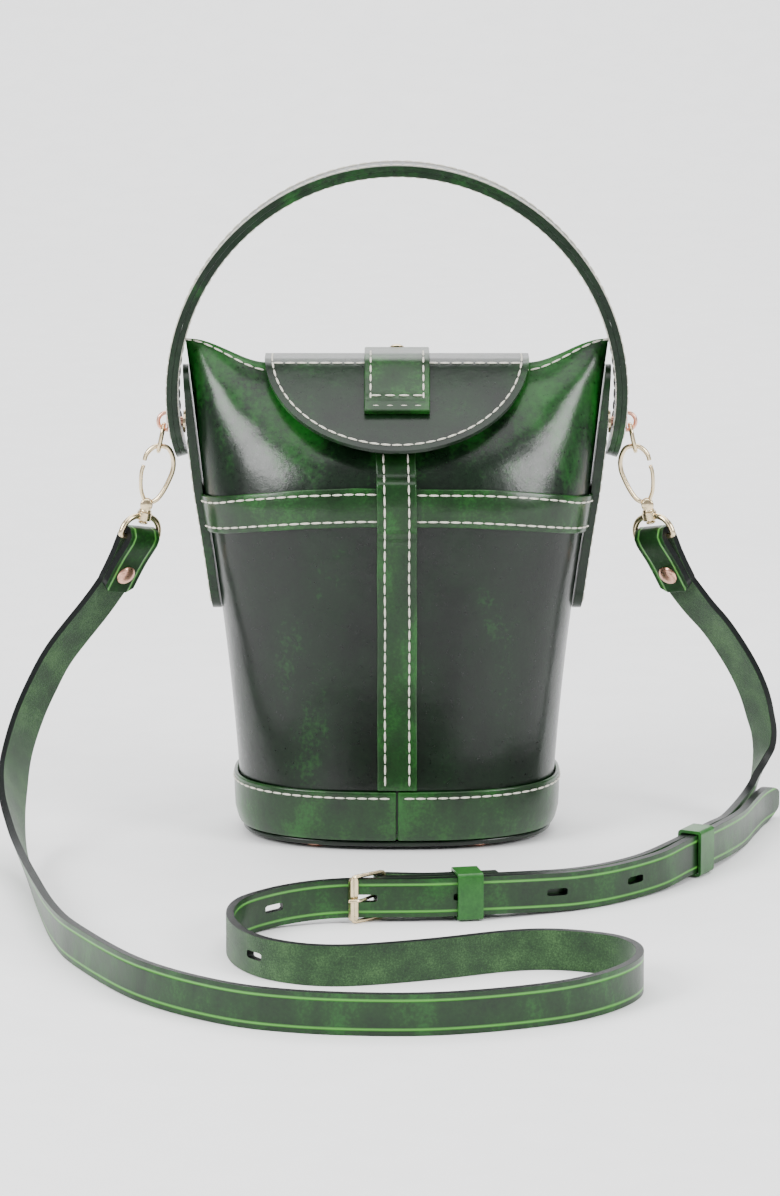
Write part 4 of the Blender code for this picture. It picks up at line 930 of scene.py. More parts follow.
class BagBody:
    """The moulded body with its bands, strips, base and lining."""

    panel = 2.2
    fit = 0.3
    band_half = 8.0
    band_thick = 2.0

    def __init__(self, shell: Shell, finishes: Finishes, stitches: StitchTree) -> None:
        """Keep what the body is made from.

        Args:
            shell: Shape of the outer face.
            finishes: The materials.
            stitches: The stitch tree.
        """
        self.shell = shell
        self.finishes = finishes
        self.stitches = stitches
        self.rows: list[list[Vector]] = []

    def build(self) -> None:
        """Build every piece of the body."""
        for face in Face:
            self._panels(face)
            self._cross_band(face)
            self._center_strap(face)
        self._pocket()
        self._base()
        for side in Side:
            self._side_strip(side)
        self.stitches.lay("body_stitches", self.rows, "bag")
        LOG.info("body built with %d stitch rows", len(self.rows))

    def _keep(self, item: bpy.types.Object, slot: str, *nodes: str) -> None:
        """Put a piece on the bag in place of its CAD nodes."""
        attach(item, "bag")
        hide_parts(*nodes)

    def _panels(self, face: Face) -> None:
        """Build one panel with its lining and edge stitches."""
        angles = [math.pi * (0.5 - 0.5 * math.cos(math.pi * share)) * 0.35 + math.pi * share * 0.65
                  for share in spread(0.0, 1.0, 96)]
        levels = spread(self.shell.floor, 27.0, 8) + spread(30.0, 140.0, 30) + spread(143.0, 250.0, 52)
        outer = self.shell.grid(angles, levels, face, 0.0)
        inner = self.shell.grid(angles, levels, face, -self.panel)
        item = Maker.slab(face.word + "_panel", outer, inner, self.finishes.hide, 0.45)
        self._keep(item, "bridle", face.word + "_panel")
        inside = [8.5] + levels[4:-4]
        outer = self.shell.grid(angles, inside, face, -self.panel - 0.3)
        inner = self.shell.grid(angles, inside, face, -self.panel - 1.2)
        lining = Maker.slab("lining_" + face.word, outer, inner, (self.finishes.lining,) * 3, 0.0)
        self._keep(lining, "lining", "lining_" + face.word)
        for first, last in ((0.13, 1.02), (math.pi - 1.02, math.pi - 0.13)):
            self.rows.append([self._on(angle, 246.5, face, 0.1) for angle in spread(first, last, 60)])

    def _on(self, angle: float, level: float, face: Face, lift: float) -> Vector:
        """Point on the uneven outer face."""
        point = self.shell.at(angle, level, face, lift)
        fade = ease(math.sin(angle) / 0.35)
        return point + self.shell.sag(self.shell.point(angle, level, face), level) * fade

    def _band_level(self, angle: float, shift: float, face: Face) -> float:
        """Level of a line along the cross band, `shift` from its middle line."""
        reach = abs(math.cos(angle)) ** (2.0 / self.shell.square)
        return self.shell.level_at(angle, 150.0 - 8.0 * reach ** 2.5 + shift, face)

    def _cross_band(self, face: Face) -> None:
        """Build the band across one face."""
        edge = math.radians(9.2)
        angles = spread(edge, math.pi - edge, 90)
        grids = []
        for lift in (self.fit + self.band_thick, self.fit):
            grids.append([[self._on(angle, self._band_level(angle, shift, face), face, lift) for angle in angles]
                          for shift in spread(-self.band_half, self.band_half, 6)])
        item = Maker.slab("cross_band_" + face.word, grids[0], grids[1], self.finishes.trim, 0.6)
        self._keep(item, "bridle", "cross_band_" + face.word)
        for shift in (-self.band_half + 2.5, self.band_half - 2.5):
            for first, last in ((edge + 0.05, math.pi / 2 - 0.075), (math.pi / 2 + 0.075, math.pi - edge - 0.05)):
                self.rows.append([self._on(angle, self._band_level(angle, shift, face), face,
                                           self.fit + self.band_thick + 0.12) for angle in spread(first, last, 60)])

    def _center_strap(self, face: Face) -> None:
        """Build the upright strap in the middle of one face, over the cross band."""
        half = 8.5
        middle = math.pi / 2.0
        levels = spread(27.5, 134.0, 24) + spread(136.0, 172.0, 30) + spread(174.0, 209.0, 12)

        def lift_at(level: float) -> float:
            height = self.shell.point(middle, level, face).z
            over = ease((height - 136.0) / 5.0) * ease((163.5 - height) / 5.0)
            return self.fit + (self.band_thick + self.fit) * over

        def row(level: float, extra: float, count: int = 6) -> list[Vector]:
            center = self._on(middle, level, face, lift_at(level) + extra)
            return [center + Vector((x, 0.0, 0.0)) for x in spread(-half, half, count)]

        outer = [row(level, self.band_thick) for level in levels]
        inner = [row(level, 0.0) for level in levels]
        item = Maker.slab("center_strap_" + face.word, outer, inner, self.finishes.trim, 0.6)
        self._keep(item, "bridle", "center_strap_" + face.word)
        for x in (-half + 3.3, half - 3.3):
            self.rows.append([self._on(middle, level, face, lift_at(level) + self.band_thick + 0.12)
                              + Vector((x, 0.0, 0.0)) for level in levels[1:]])

    def _pocket(self) -> None:
        """Build the slip pocket on the back lining."""
        angles = spread(math.radians(56.25), math.radians(123.75), 24)
        levels = spread(52.0, 118.0, 12)
        outer = self.shell.grid(angles, levels, Face.BACK, -4.3)
        inner = self.shell.grid(angles, levels, Face.BACK, -5.0)
        self._keep(Maker.slab("inner_pocket", outer, inner, (self.finishes.lining,) * 3, 0.0), "lining", "inner_pocket")

    def _base(self) -> None:
        """Build the base band and the sole."""
        turn = 0.0015
        half = math.pi / 2.0
        front_right = [(angle, Face.FRONT) for angle in reversed(spread(0.0, half - turn, 40))]
        back = [(angle, Face.BACK) for angle in spread(0.0, math.pi, 80)[1:-1]]
        front_left = [(angle, Face.FRONT) for angle in reversed(spread(half + turn, math.pi, 40))]
        stations = front_right + back + front_left
        levels = spread(5.8, 27.0, 10)

        def row(level: float, lift: float) -> list[Vector]:
            points = []
            for angle, face in stations:
                point = self.shell.at(angle, level, face, lift)
                if angle in (0.0, math.pi):
                    point.y = 0.0
                points.append(point)
            return points

        outer = [row(level, 2.3) for level in levels]
        inner = [row(level, 0.35) for level in levels]
        self._keep(Maker.slab("base_band", outer, inner, self.finishes.trim, 0.7), "bridle", "base_band")
        self.rows.append(row(24.4, 2.42)[1:-1])
        power = 2.0 / self.shell.square
        outline = []
        for step in range(96):
            angle = 2.0 * math.pi * step / 96
            cosine, sine = math.cos(angle), math.sin(angle)
            outline.append((math.copysign(67.5 * abs(cosine) ** power, cosine),
                            math.copysign(47.5 * abs(sine) ** power, sine)))
        work = bmesh.new()
        ring = [work.verts.new((x, y, 1.9)) for x, y in outline]
        grown = bmesh.ops.extrude_face_region(work, geom=[work.faces.new(ring)])
        raised = [part for part in grown["geom"] if isinstance(part, bmesh.types.BMVert)]
        bmesh.ops.translate(work, verts=raised, vec=(0.0, 0.0, 2.6))
        Maker.face_outward(work)
        mesh = bpy.data.meshes.new("base_sole")
        work.to_mesh(mesh)
        work.free()
        sole = Maker.soften(Maker.add("base_sole", mesh, (self.finishes.bridle,)), 1.0, 3)
        self._keep(sole, "bridle", "base_sole")

    def _side_strip(self, side: Side) -> None:
        """Build the strip over one side seam."""
        bottom, top, half = 98.0, 205.0, 10.0
        thick = ((98.0, 3.8), (176.0, 3.9), (192.0, 2.9), (206.0, 2.3))
        ends = [0.05, 0.5, 1.3, 2.5, 4.0, 6.0, 8.0, 10.0]
        heights = [bottom + end for end in ends] + spread(112.0, 192.0, 24) + [top - end for end in reversed(ends)]
        grids = []
        for share in (1.0, 0.0):
            rows = []
            for height in heights:
                reach = rounded_share(min(height - bottom, top - height), half)
                x = self.shell.half_width(height) + 0.35 + share * lookup(thick, height)
                rows.append([Vector((side.value * x, y, height)) for y in spread(-reach, reach, 6)])
            grids.append(rows)
        item = Maker.slab("side_strip_" + side.word, grids[0], grids[1], self.finishes.cover, 0.7)
        self._keep(item, "bridle", "side_strip_" + side.word)
        for edge in (-7.4, 7.4):
            line = [Vector((side.value * (self.shell.half_width(z) + 0.35 + lookup(thick, z) + 0.12), edge, z))
                    for z in spread(104.0, 171.0, 40)]
            self.rows.append(line)


class ClosingFlap:
    """The D-shaped flap with its lining, tab and rivet."""

    half = 57.0
    straight = 14.0
    rear = 8.5
    under = 205.8
    level = 19.0
    slope = math.radians(38.5)
    bend = 6.0

    def __init__(self, shell: Shell, finishes: Finishes, stitches: StitchTree) -> None:
        """Keep what the flap is made from.

        Args:
            shell: Shape of the body it closes on.
            finishes: The materials.
            stitches: The stitch tree.
        """
        self.shell = shell
        self.finishes = finishes
        self.stitches = stitches

    def point(self, x: float, distance: float, lift: float) -> Vector:
        """Point above the flap's underside at a distance from its rear edge."""
        start = self.level - self.bend / 2.0
        along = distance - start
        angle = self.slope * min(max(along / self.bend, 0.0), 1.0)
        if along <= 0.0:
            y, z = self.rear - distance, self.under
        else:
            y, z = self.rear - start, self.under
            step = along / 24
            for index in range(24):
                turn = self.slope * min((index + 0.5) * step / self.bend, 1.0)
                y -= step * math.cos(turn)
                z -= step * math.sin(turn)
        return Vector((x, y - lift * math.sin(angle), z + lift * math.cos(angle)))

    def reach(self, distance: float, inset: float) -> float:
        """Half width of the outline at a distance, inset from its edge."""
        half = self.half - inset
        if distance <= self.straight:
            return half
        share = min((distance - self.straight) / half, 0.99995)
        return half * math.sqrt(1.0 - share * share)

    def build(self) -> None:
        """Build the flap's pieces."""
        for name, inset, low, high, finishes, slot in (
                ("flap_lining", 3.0, 0.0, 0.8, (self.finishes.lining,) * 3, "lining"),
                ("flap", 0.0, 0.9, 2.8, self.finishes.cover, "bridle")):
            distances = spread(inset, self.straight, 5)[:-1]
            distances += [self.straight + (self.half - inset) * math.sin(math.radians(angle))
                          for angle in spread(0.0, 89.0, 40)]
            grids = [[[self.point(share * self.reach(distance, inset), distance, lift)
                       for share in spread(-1.0, 1.0, 40)] for distance in distances] for lift in (high, low)]
            item = Maker.slab(name, grids[0], grids[1], finishes, 0.5 if slot == "bridle" else 0.0)
            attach(item, "flap")
            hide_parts(name)
        self._tab()
        self._stitch()
        self._rivet()
        LOG.info("flap built")

    def _tab(self) -> None:
        """Build the tab that bends over the hinge line onto the back."""
        back = [(31.6, 187.4), (26.8, 192.4), (20.9, 200.6), (17.8, 205.2), (15.2, 208.2), (12.2, 209.6), (9.4, 209.95)]
        line = [Vector((0.0, y, z)) for y, z in smooth(back, 6)]
        line += [self.point(0.0, distance, 4.05) for distance in spread(1.0, 50.5, 44)]
        outer, inner = [], []
        for index, point in enumerate(line):
            along = (line[min(index + 1, len(line) - 1)] - line[max(index - 1, 0)]).normalized()
            up = Vector((0.0, along.z, -along.y))
            tail = len(line) - 1 - index
            thick = 1.05 + 0.75 * ease((10.0 - tail) / 6.0)
            outer.append([point + up * thick + Vector((x, 0.0, 0.0)) for x in spread(-14.0, 14.0, 8)])
            inner.append([point - up * 1.0 + Vector((x, 0.0, 0.0)) for x in spread(-14.0, 14.0, 8)])
        item = Maker.slab("closure_tab", outer, inner, self.finishes.trim, 0.5)
        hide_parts("closure_tab", "tab_anchor")
        self.tab = item

    def finish_tab(self) -> None:
        """Bake the tab's modifiers and its transform into its mesh."""
        self._apply(self.tab)
        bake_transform(self.tab)

    @staticmethod
    def _apply(item: bpy.types.Object) -> None:
        """Bake a piece's modifiers into its mesh."""
        bpy.context.view_layer.update()
        graph = bpy.context.evaluated_depsgraph_get()
        item.data = bpy.data.meshes.new_from_object(item.evaluated_get(graph))
        item.modifiers.clear()

    def _stitch(self) -> None:
        """Lay the stitches of the flap and the tab."""
        inset = 3.2
        rim = [self.point(share * self.reach(distance, inset), distance, 2.92)
               for share, distance in [(1.0, d) for d in spread(4.0, self.straight, 4)[:-1]]
               + [(1.0, self.straight + (self.half - inset) * math.sin(math.radians(angle)))
                  for angle in spread(0.0, 89.9, 60)]
               + [(-1.0, self.straight + (self.half - inset) * math.sin(math.radians(angle)))
                  for angle in reversed(spread(0.0, 89.9, 60)[:-1])]
               + [(-1.0, d) for d in reversed(spread(4.0, self.straight, 4)[:-1])]]
        rows = [rim]
        front = self.level + 3.4
        for first, last in ((-self.half + 6.0, -15.5), (15.5, self.half - 6.0)):
            rows.append([self.point(x, front - 2.0, 2.92) for x in spread(first, last, 20)])
        for x in (-11.3, 11.3):
            rows.append([self.point(x, distance, 5.22) for distance in spread(13.0, 47.0, 30)])
        for distance in (41.5, 47.6):
            rows.append([self.point(x, distance, 5.5) for x in spread(-9.0, 9.0, 6)])
        self.stitches.lay("flap_stitches", rows, "flap")

    def _rivet(self) -> None:
        """Build the rivet behind the tab's bend."""
        head = [(0.0, 1.7), (1.8, 1.5), (3.1, 0.8), (3.6, 0.0), (0.0, -0.4)]
        item = Maker.turned("tab_rivet", head, Vector((0.0, 14.6, 209.7)), Vector((0.0, 0.45, 0.89)),
                            self.finishes.gold)
        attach(item, "bag")
        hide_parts("tab_rivet")


class CarryHandle:
    """The two stitched plies of the handle and the studs it swings on."""

    radius = 97.0
    center_z = 192.5
    end_z = 165.0
    half = 11.0
    ply = 2.3
    pivot_z = 180.0

    def __init__(self, finishes: Finishes, stitches: StitchTree) -> None:
        """Keep what the handle is made from.

        Args:
            finishes: The materials.
            stitches: The stitch tree.
        """
        self.finishes = finishes
        self.stitches = stitches

    def path(self) -> list[Vector]:
        """Centre line from the right end over the top to the left one."""
        heights = [self.end_z + 0.1, self.end_z + 0.6, self.end_z + 1.6, self.end_z + 3.2, self.end_z + 5.5,
                   self.end_z + 8.0, self.end_z + 11.0, 180.0, 184.0, 188.0]
        right = [Vector((self.radius - 0.0055 * (self.center_z - z) ** 2, 0.0, z)) for z in heights]
        arc = [Vector((self.radius * math.cos(angle), 0.0, self.center_z + self.radius * math.sin(angle)))
               for angle in spread(0.0, math.pi, 96)]
        return right + arc + [Vector((-point.x, 0.0, point.z)) for point in reversed(right)]

    def row(self, path: list[Vector], index: int, lift: float, ys: Sequence[float]) -> list[Vector]:
        """Points across the handle at one station.

        Args:
            path: The centre line.
            index: Station on it.
            lift: Distance outside the centre line.
            ys: Share of the half width of each point.

        Returns:
            The points.
        """
        along = (path[min(index + 1, len(path) - 1)] - path[max(index - 1, 0)]).normalized()
        outward = Vector((along.z, 0.0, -along.x))
        half = rounded_share(path[index].z - self.end_z, self.half) if path[index].z < 176.0 else self.half
        return [path[index] + outward * lift + Vector((0.0, y * half, 0.0)) for y in ys]

    def build(self) -> None:
        """Build the handle."""
        path = self.path()
        shares = spread(-1.0, 1.0, 8)
        for name, low, high in (("handle_outer", 0.03, self.ply + 0.05), ("handle_inner", -0.03, -self.ply - 0.05)):
            outer = [self.row(path, index, high, shares) for index in range(len(path))]
            inner = [self.row(path, index, low, shares) for index in range(len(path))]
            item = Maker.slab(name, outer, inner, self.finishes.cover, 0.6)
            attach(item, "handle")
            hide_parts(name)
        rows = []
        for lift in (self.ply + 0.17, -self.ply - 0.17):
            for share in (-0.76, 0.76):
                rows.append([self.row(path, index, lift, (share,))[0] for index in range(6, len(path) - 6)])
        self.stitches.lay("handle_stitches", rows, "handle")
        for side in Side:
            self._stud(side)
        LOG.info("handle built")

    def _stud(self, side: Side) -> None:
        """Build the stud and its eye on one side."""
        axis = Vector((side.value, 0.0, 0.0))
        origin = Vector((side.value * 91.5, 0.0, self.pivot_z))
        profile = [(0.0, 8.1), (4.4, 8.1), (4.7, 7.8), (4.7, 7.6), (2.0, 7.6), (2.0, 0.0), (0.0, 0.0)]
        stud = Maker.turned("eye_stud_" + side.word, profile, origin, axis, self.finishes.copper)
        points = [(side.value * 99.2, 0.0, self.pivot_z + 3.8)]
        points += [(side.value * (99.6 + 3.8 * math.cos(angle)), 0.0, self.pivot_z + 3.8 * math.sin(angle))
                   for angle in spread(math.pi / 2, -math.pi / 2, 20)]
        points.append((side.value * 99.2, 0.0, self.pivot_z - 3.8))
        eye = Maker.wire("eye_ring_" + side.word, points, 0.85, self.finishes.copper)
        for item in (stud, eye):
            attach(item, "bag")
        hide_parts("eye_stud_" + side.word)


# ---------------------------------------------------------------- shoulder strap

@dataclass(frozen=True)
class ClipShape:
    """Sizes of the strap hardware on the right side; the left side mirrors it."""

    link_top: tuple[float, float, float] = (100.9, 0.0, 178.6)
    link_bottom: tuple[float, float, float] = (103.4, 0.0, 166.9)
    pivot: tuple[float, float, float] = (108.8, 0.0, 143.4)
    axis: tuple[float, float, float] = (0.206, 0.0, -0.978)
    ring_top: tuple[float, float, float] = (109.9, 0.0, 138.4)
    ring_down: tuple[float, float, float] = (0.25, 0.0, -0.968)
    ring_bar: tuple[float, float, float] = (0.72, -0.66, 0.21)
    fold_down: tuple[float, float, float] = (0.45, 0.21, -0.87)
    ring_height: float = 9.6
    wire: float = 1.3
    fold: float = 27.0
    hook: tuple[tuple[float, float], ...] = (
        (109.5, 162.9), (108.9, 165.0), (107.2, 167.3), (104.6, 169.0), (101.6, 169.1), (99.2, 168.2),
        (97.6, 165.6), (96.9, 162.0), (97.4, 158.0), (99.2, 153.6), (101.4, 149.4), (103.9, 146.0), (106.2, 144.55))


class Clip:
    """Link, snap hook, ring and rivet at one end of the shoulder strap."""

    def __init__(self, side: Side, shape: ClipShape, finishes: Finishes) -> None:
        """Keep what the clip is made from.

        Args:
            side: Left or right.
            shape: Its sizes.
            finishes: The materials.
        """
        self.side = side
        self.shape = shape
        self.finishes = finishes
        self.pieces: list[bpy.types.Object] = []
        down = mirrored(shape.ring_down, side).normalized()
        bar = mirrored(shape.ring_bar, side)
        self.down = down
        self.bar = (bar - down * bar.dot(down)).normalized()
        self.bar_center = mirrored(shape.ring_top, side) + down * shape.ring_height
        along = mirrored(shape.fold_down, side)
        self.along = (along - self.bar * along.dot(self.bar)).normalized()
        front = self.along.cross(self.bar)
        self.front = -front if front.y > 0.0 else front

    def _keep(self, item: bpy.types.Object, body: str, slot: str, *nodes: str) -> bpy.types.Object:
        """Put a piece on a body of this side."""
        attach(item, f"{body}_{self.side.word}")
        if nodes:
            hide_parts(*(f"{node}_{self.side.word}" for node in nodes))
        self.pieces.append(item)
        return item

    def build(self) -> None:
        """Build the hardware."""
        word, shape, side = self.side.word, self.shape, self.side
        gold = self.finishes.gold
        top, bottom = mirrored(shape.link_top, side), mirrored(shape.link_bottom, side)
        down = (bottom - top).normalized()
        half_y = 3.55
        straight = (bottom - top).length / 2.0 - half_y
        points = []
        for end in (1.0, -1.0):
            for angle in spread(0.0, math.pi, 16):
                points.append((top + bottom) / 2.0 + Vector((0.0, half_y * math.cos(angle) * end, 0.0))
                              + down * (straight + half_y * math.sin(angle)) * end)
        self._keep(Maker.wire("link_" + word, points, 0.95, gold, closed=True), "clip", "gold", "link")
        self.pieces.clear()
        self._hook()
        self._ring()
        self._rivet()
        LOG.info("%s clip built", word)

    def _hook(self) -> None:
        """Build the hook, its swivel post and its gate."""
        word, side, gold = self.side.word, self.side, self.finishes.gold
        pivot = mirrored(self.shape.pivot, side)
        axis = mirrored(self.shape.axis, side).normalized()
        line = [(side.value * x, 0.0, z) for x, z in smooth(self.shape.hook, 6)]
        radii = [0.86 + 0.14 * ease(index / 12) for index in range(len(line))]
        hook = Maker.wire("hook_frame_" + word, line, 1.06, gold, radii=radii)
        self._keep(hook, "hook", "gold", "hook_frame")
        cheek = [(0.0, 2.75), (2.3, 2.75), (2.7, 2.3), (2.7, 1.15), (0.0, 1.15)]
        for sign in (1.0, -1.0):
            item = Maker.turned(f"hook_cheek_{'a' if sign > 0 else 'b'}_{word}", cheek, pivot,
                                Vector((0.0, sign, 0.0)), gold)
            self._keep(item, "hook", "gold")
        post = [(0.0, -2.2), (2.5, -2.2), (2.7, -2.5), (2.7, -3.1), (1.25, -3.4), (1.25, -7.6), (2.1, -7.6),
                (2.1, -8.4), (1.6, -8.6), (0.0, -8.6)]
        self._keep(Maker.turned("hook_post_" + word, post, pivot, -axis, gold), "hook", "gold")
        gate_line = ((109.9, 160.7), (110.9, 157.5), (111.2, 153.0), (110.9, 149.0), (109.5, 144.9))
        points = [(side.value * x, 0.0, z) for x, z in smooth(gate_line, 6)]
        self._keep(Maker.wire("hook_gate_" + word, points, 0.85, gold), "gate", "gold", "hook_gate")
        hub = [(0.0, 0.85), (1.9, 0.85), (1.9, -0.85), (0.0, -0.85)]
        self._keep(Maker.turned("gate_hub_" + word, hub, pivot, Vector((0.0, 1.0, 0.0)), gold), "gate", "gold")

    def _ring(self) -> None:
        """Build the ring and its barrel."""
        word, side, shape = self.side.word, self.side, self.shape
        half = [(0.0, 0.0), (3.6, 0.3), (7.0, 1.7), (9.4, 4.3), (10.3, 7.4), (10.2, 9.0), (9.2, shape.ring_height)]
        corners = smooth(half, 5)
        corners += [(-across, drop) for across, drop in reversed(corners[1:])]
        top = mirrored(shape.ring_top, side)
        points = [top + self.bar * across + self.down * drop for across, drop in corners]
        ring = Maker.wire("swivel_ring_" + word, points, shape.wire, self.finishes.gold, closed=True)
        self._keep(ring, "clip", "gold", "swivel_ring")
        axis = mirrored(shape.axis, side).normalized()
        barrel = [(3.2, 1.8), (3.2, -1.8), (1.6, -1.8), (1.6, 1.8)]
        self._keep(Maker.turned("ring_barrel_" + word, barrel, top, axis, self.finishes.gold), "clip", "gold")

    def _rivet(self) -> None:
        """Build the rivet through the folded strap end."""
        seat = self.bar_center + self.along * 18.0
        stack = 3.7
        profile = [(0.0, stack + 1.6), (1.6, stack + 1.55), (2.9, stack + 1.25), (4.0, stack + 0.7), (4.5, stack - 0.1),
                   (1.4, stack - 0.1), (1.4, -stack), (3.6, -stack), (3.4, -stack - 0.7), (0.0, -stack - 0.9)]
        item = Maker.turned("strap_rivet_" + self.side.word, profile, seat, self.front, self.finishes.copper)
        self._keep(item, "clip", "copper", "strap_rivet")

    def fold_stations(self) -> list[tuple[float, ...]]:
        """Stations of the strap's folded end: front ply, turn round the bar, back ply."""
        wrap = self.shape.wire + 0.35 + 1.6
        near = 1.8
        ply = [(self.shape.fold, near), (22.0, near), (16.0, near), (10.0, near + 0.3), (5.0, near + 0.95), (0.0, wrap)]
        turn = [(-wrap * math.sin(math.radians(angle)), wrap * math.cos(math.radians(angle)))
                for angle in (45, 90, 135)]
        line = ply + turn + [(drop, -away) for drop, away in reversed(ply[1:])]
        line.append((self.shape.fold - 0.5, -near))
        return [(*(self.bar_center + self.along * drop + self.front * away), *self.bar) for drop, away in line]


LONG_ROUTE = (
    (-132.2, 6.2, 96.4, -0.64, -0.69, 0.33), (-147.0, 0.0, 78.2, -0.56, -0.70, 0.50),
    (-154.5, -6.0, 65.3, -0.60, -0.71, 0.46), (-160.2, -13.0, 53.0, -0.60, -0.74, 0.42),
    (-163.9, -24.0, 41.7, -0.54, -0.80, 0.32), (-165.4, -38.0, 31.5, -0.49, -0.84, 0.25),
    (-164.7, -57.0, 22.2, -0.33, -0.84, 0.35), (-161.3, -80.0, 14.2, -0.26, -0.60, 0.70),
    (-156.0, -106.0, 9.4, -0.28, -0.34, 0.90), (-147.4, -153.0, 8.4, -0.20, -0.12, 0.97),
    (-136.8, -204.0, 8.1, -0.10, 0.05, 0.99), (-124.7, -239.0, 8.1, -0.04, 0.12, 0.99),
    (-98.7, -288.0, 8.1, 0.0, 0.10, 1.0), (-67.0, -319.5, 8.1, 0.0, 0.04, 1.0),
    (-36.7, -332.9, 8.1, 0.0, 0.0, 1.0), (0.7, -337.0, 8.1, 0.0, 0.0, 1.0),
    (30.0, -332.5, 8.1, 0.0, 0.0, 1.0), (61.0, -320.0, 8.1, 0.0, 0.0, 1.0),
    (80.0, -304.0, 8.1, 0.0, 0.0, 1.0), (91.3, -285.0, 8.1, 0.0, 0.0, 1.0),
    (93.0, -267.0, 8.1, 0.0, 0.0, 1.0), (86.0, -252.5, 8.1, 0.0, 0.0, 1.0),
    (71.0, -244.3, 8.1, 0.0, 0.0, 1.0), (55.8, -242.0, 8.1, 0.0, 0.0, 1.0),
    (40.1, -245.5, 8.1, 0.0, 0.0, 1.0), (16.5, -255.7, 8.1, 0.0, 0.0, 1.0),
    (-6.9, -263.6, 8.1, 0.0, 0.0, 1.0), (-24.0, -266.6, 8.1, 0.0, 0.0, 1.0),
    (-39.0, -263.5, 8.1, 0.0, 0.0, 1.0), (-53.0, -253.5, 8.1, 0.0, 0.0, 1.0),
    (-62.5, -237.0, 8.1, 0.0, 0.0, 1.0), (-66.6, -215.0, 8.1, 0.0, 0.0, 1.0),
    (-63.3, -193.5, 8.1, 0.0, 0.0, 1.0), (-52.0, -179.5, 8.6, 0.0, 0.0, 1.0),
    (-38.0, -172.5, 9.6, 0.0, 0.0, 1.0), (-23.0, -169.2, 10.2, 0.0, 0.0, 1.0),
    (-5.0, -168.2, 10.2, 0.0, 0.0, 1.0), (15.0, -167.3, 10.2, 0.0, 0.0, 1.0),
    (36.0, -163.7, 10.2, 0.0, 0.0, 1.0), (58.4, -155.5, 9.2, 0.0, 0.0, 1.0),
    (75.0, -148.0, 8.6, 0.0, 0.0, 1.0), (92.0, -135.4, 8.4, 0.0, 0.0, 1.0),
    (109.5, -117.4, 8.9, 0.0, 0.0, 1.0), (121.5, -99.5, 10.2, 0.0, 0.0, 1.0),
    (132.3, -80.0, 10.2, 0.0, 0.0, 1.0), (141.5, -59.5, 9.4, 0.0, 0.0, 1.0),
    (149.0, -37.8, 8.2, 0.0, 0.0, 1.0), (155.4, -15.0, 8.1, 0.0, 0.0, 1.0),
    (161.0, 3.5, 8.1, 0.0, 0.0, 1.0), (168.2, 19.4, 8.1, 0.0, 0.0, 1.0),
)
SHORT_ROUTE = (
    (132.0, 7.0, 97.2, 0.66, -0.68, 0.30), (141.0, 8.0, 86.6, 0.60, -0.71, 0.35),
    (150.7, 9.0, 71.6, 0.60, -0.72, 0.33), (156.9, 10.5, 58.5, 0.60, -0.75, 0.30),
    (160.2, 12.0, 46.8, 0.55, -0.80, 0.25), (162.0, 13.0, 37.4, 0.45, -0.85, 0.25),
    (161.0, 11.5, 28.0, 0.30, -0.75, 0.55), (157.0, 4.0, 17.5, 0.18, -0.35, 0.92),
    (152.4, -9.0, 10.4, 0.08, -0.12, 0.99),
)


class Route:
    """A strap's centre line and width direction, read by distance along it."""

    def __init__(self, stations: Sequence[Sequence[float]], spans: int = 16) -> None:
        """Measure a route.

        Args:
            stations: Centre and width direction at each control point.
            spans: Pieces per gap.
        """
        self.samples = smooth(stations, spans)
        self.lengths = [0.0]
        for first, second in zip(self.samples, self.samples[1:]):
            self.lengths.append(self.lengths[-1] + (Vector(second[:3]) - Vector(first[:3])).length)
        self.length = self.lengths[-1]

    def raw(self, distance: float) -> list[float]:
        """Read the six numbers at a distance."""
        distance = min(max(distance, 0.0), self.length)
        low, high = 0, len(self.lengths) - 1
        while high - low > 1:
            middle = (low + high) // 2
            if self.lengths[middle] <= distance:
                low = middle
            else:
                high = middle
        span = self.lengths[high] - self.lengths[low]
        share = (distance - self.lengths[low]) / span if span > 0.0 else 0.0
        return [a + (b - a) * share for a, b in zip(self.samples[low], self.samples[high])]

    def read(self, distance: float) -> tuple[Vector, Vector, Vector]:
        """Give the centre, the direction along and the unit direction across at a distance."""
        values = self.raw(distance)
        along = (Vector(self.raw(distance + 1.0)[:3]) - Vector(self.raw(distance - 1.0)[:3])).normalized()
        across = Vector(values[3:])
        across = (across - along * across.dot(along)).normalized()
        return Vector(values[:3]), along, across

    def find(self, x: float, low: float, high: float) -> float:
        """Find the distance between two limits at which the line is nearest an x position."""
        return min(spread(low, high, 600), key=lambda distance: abs(self.raw(distance)[0] - x))


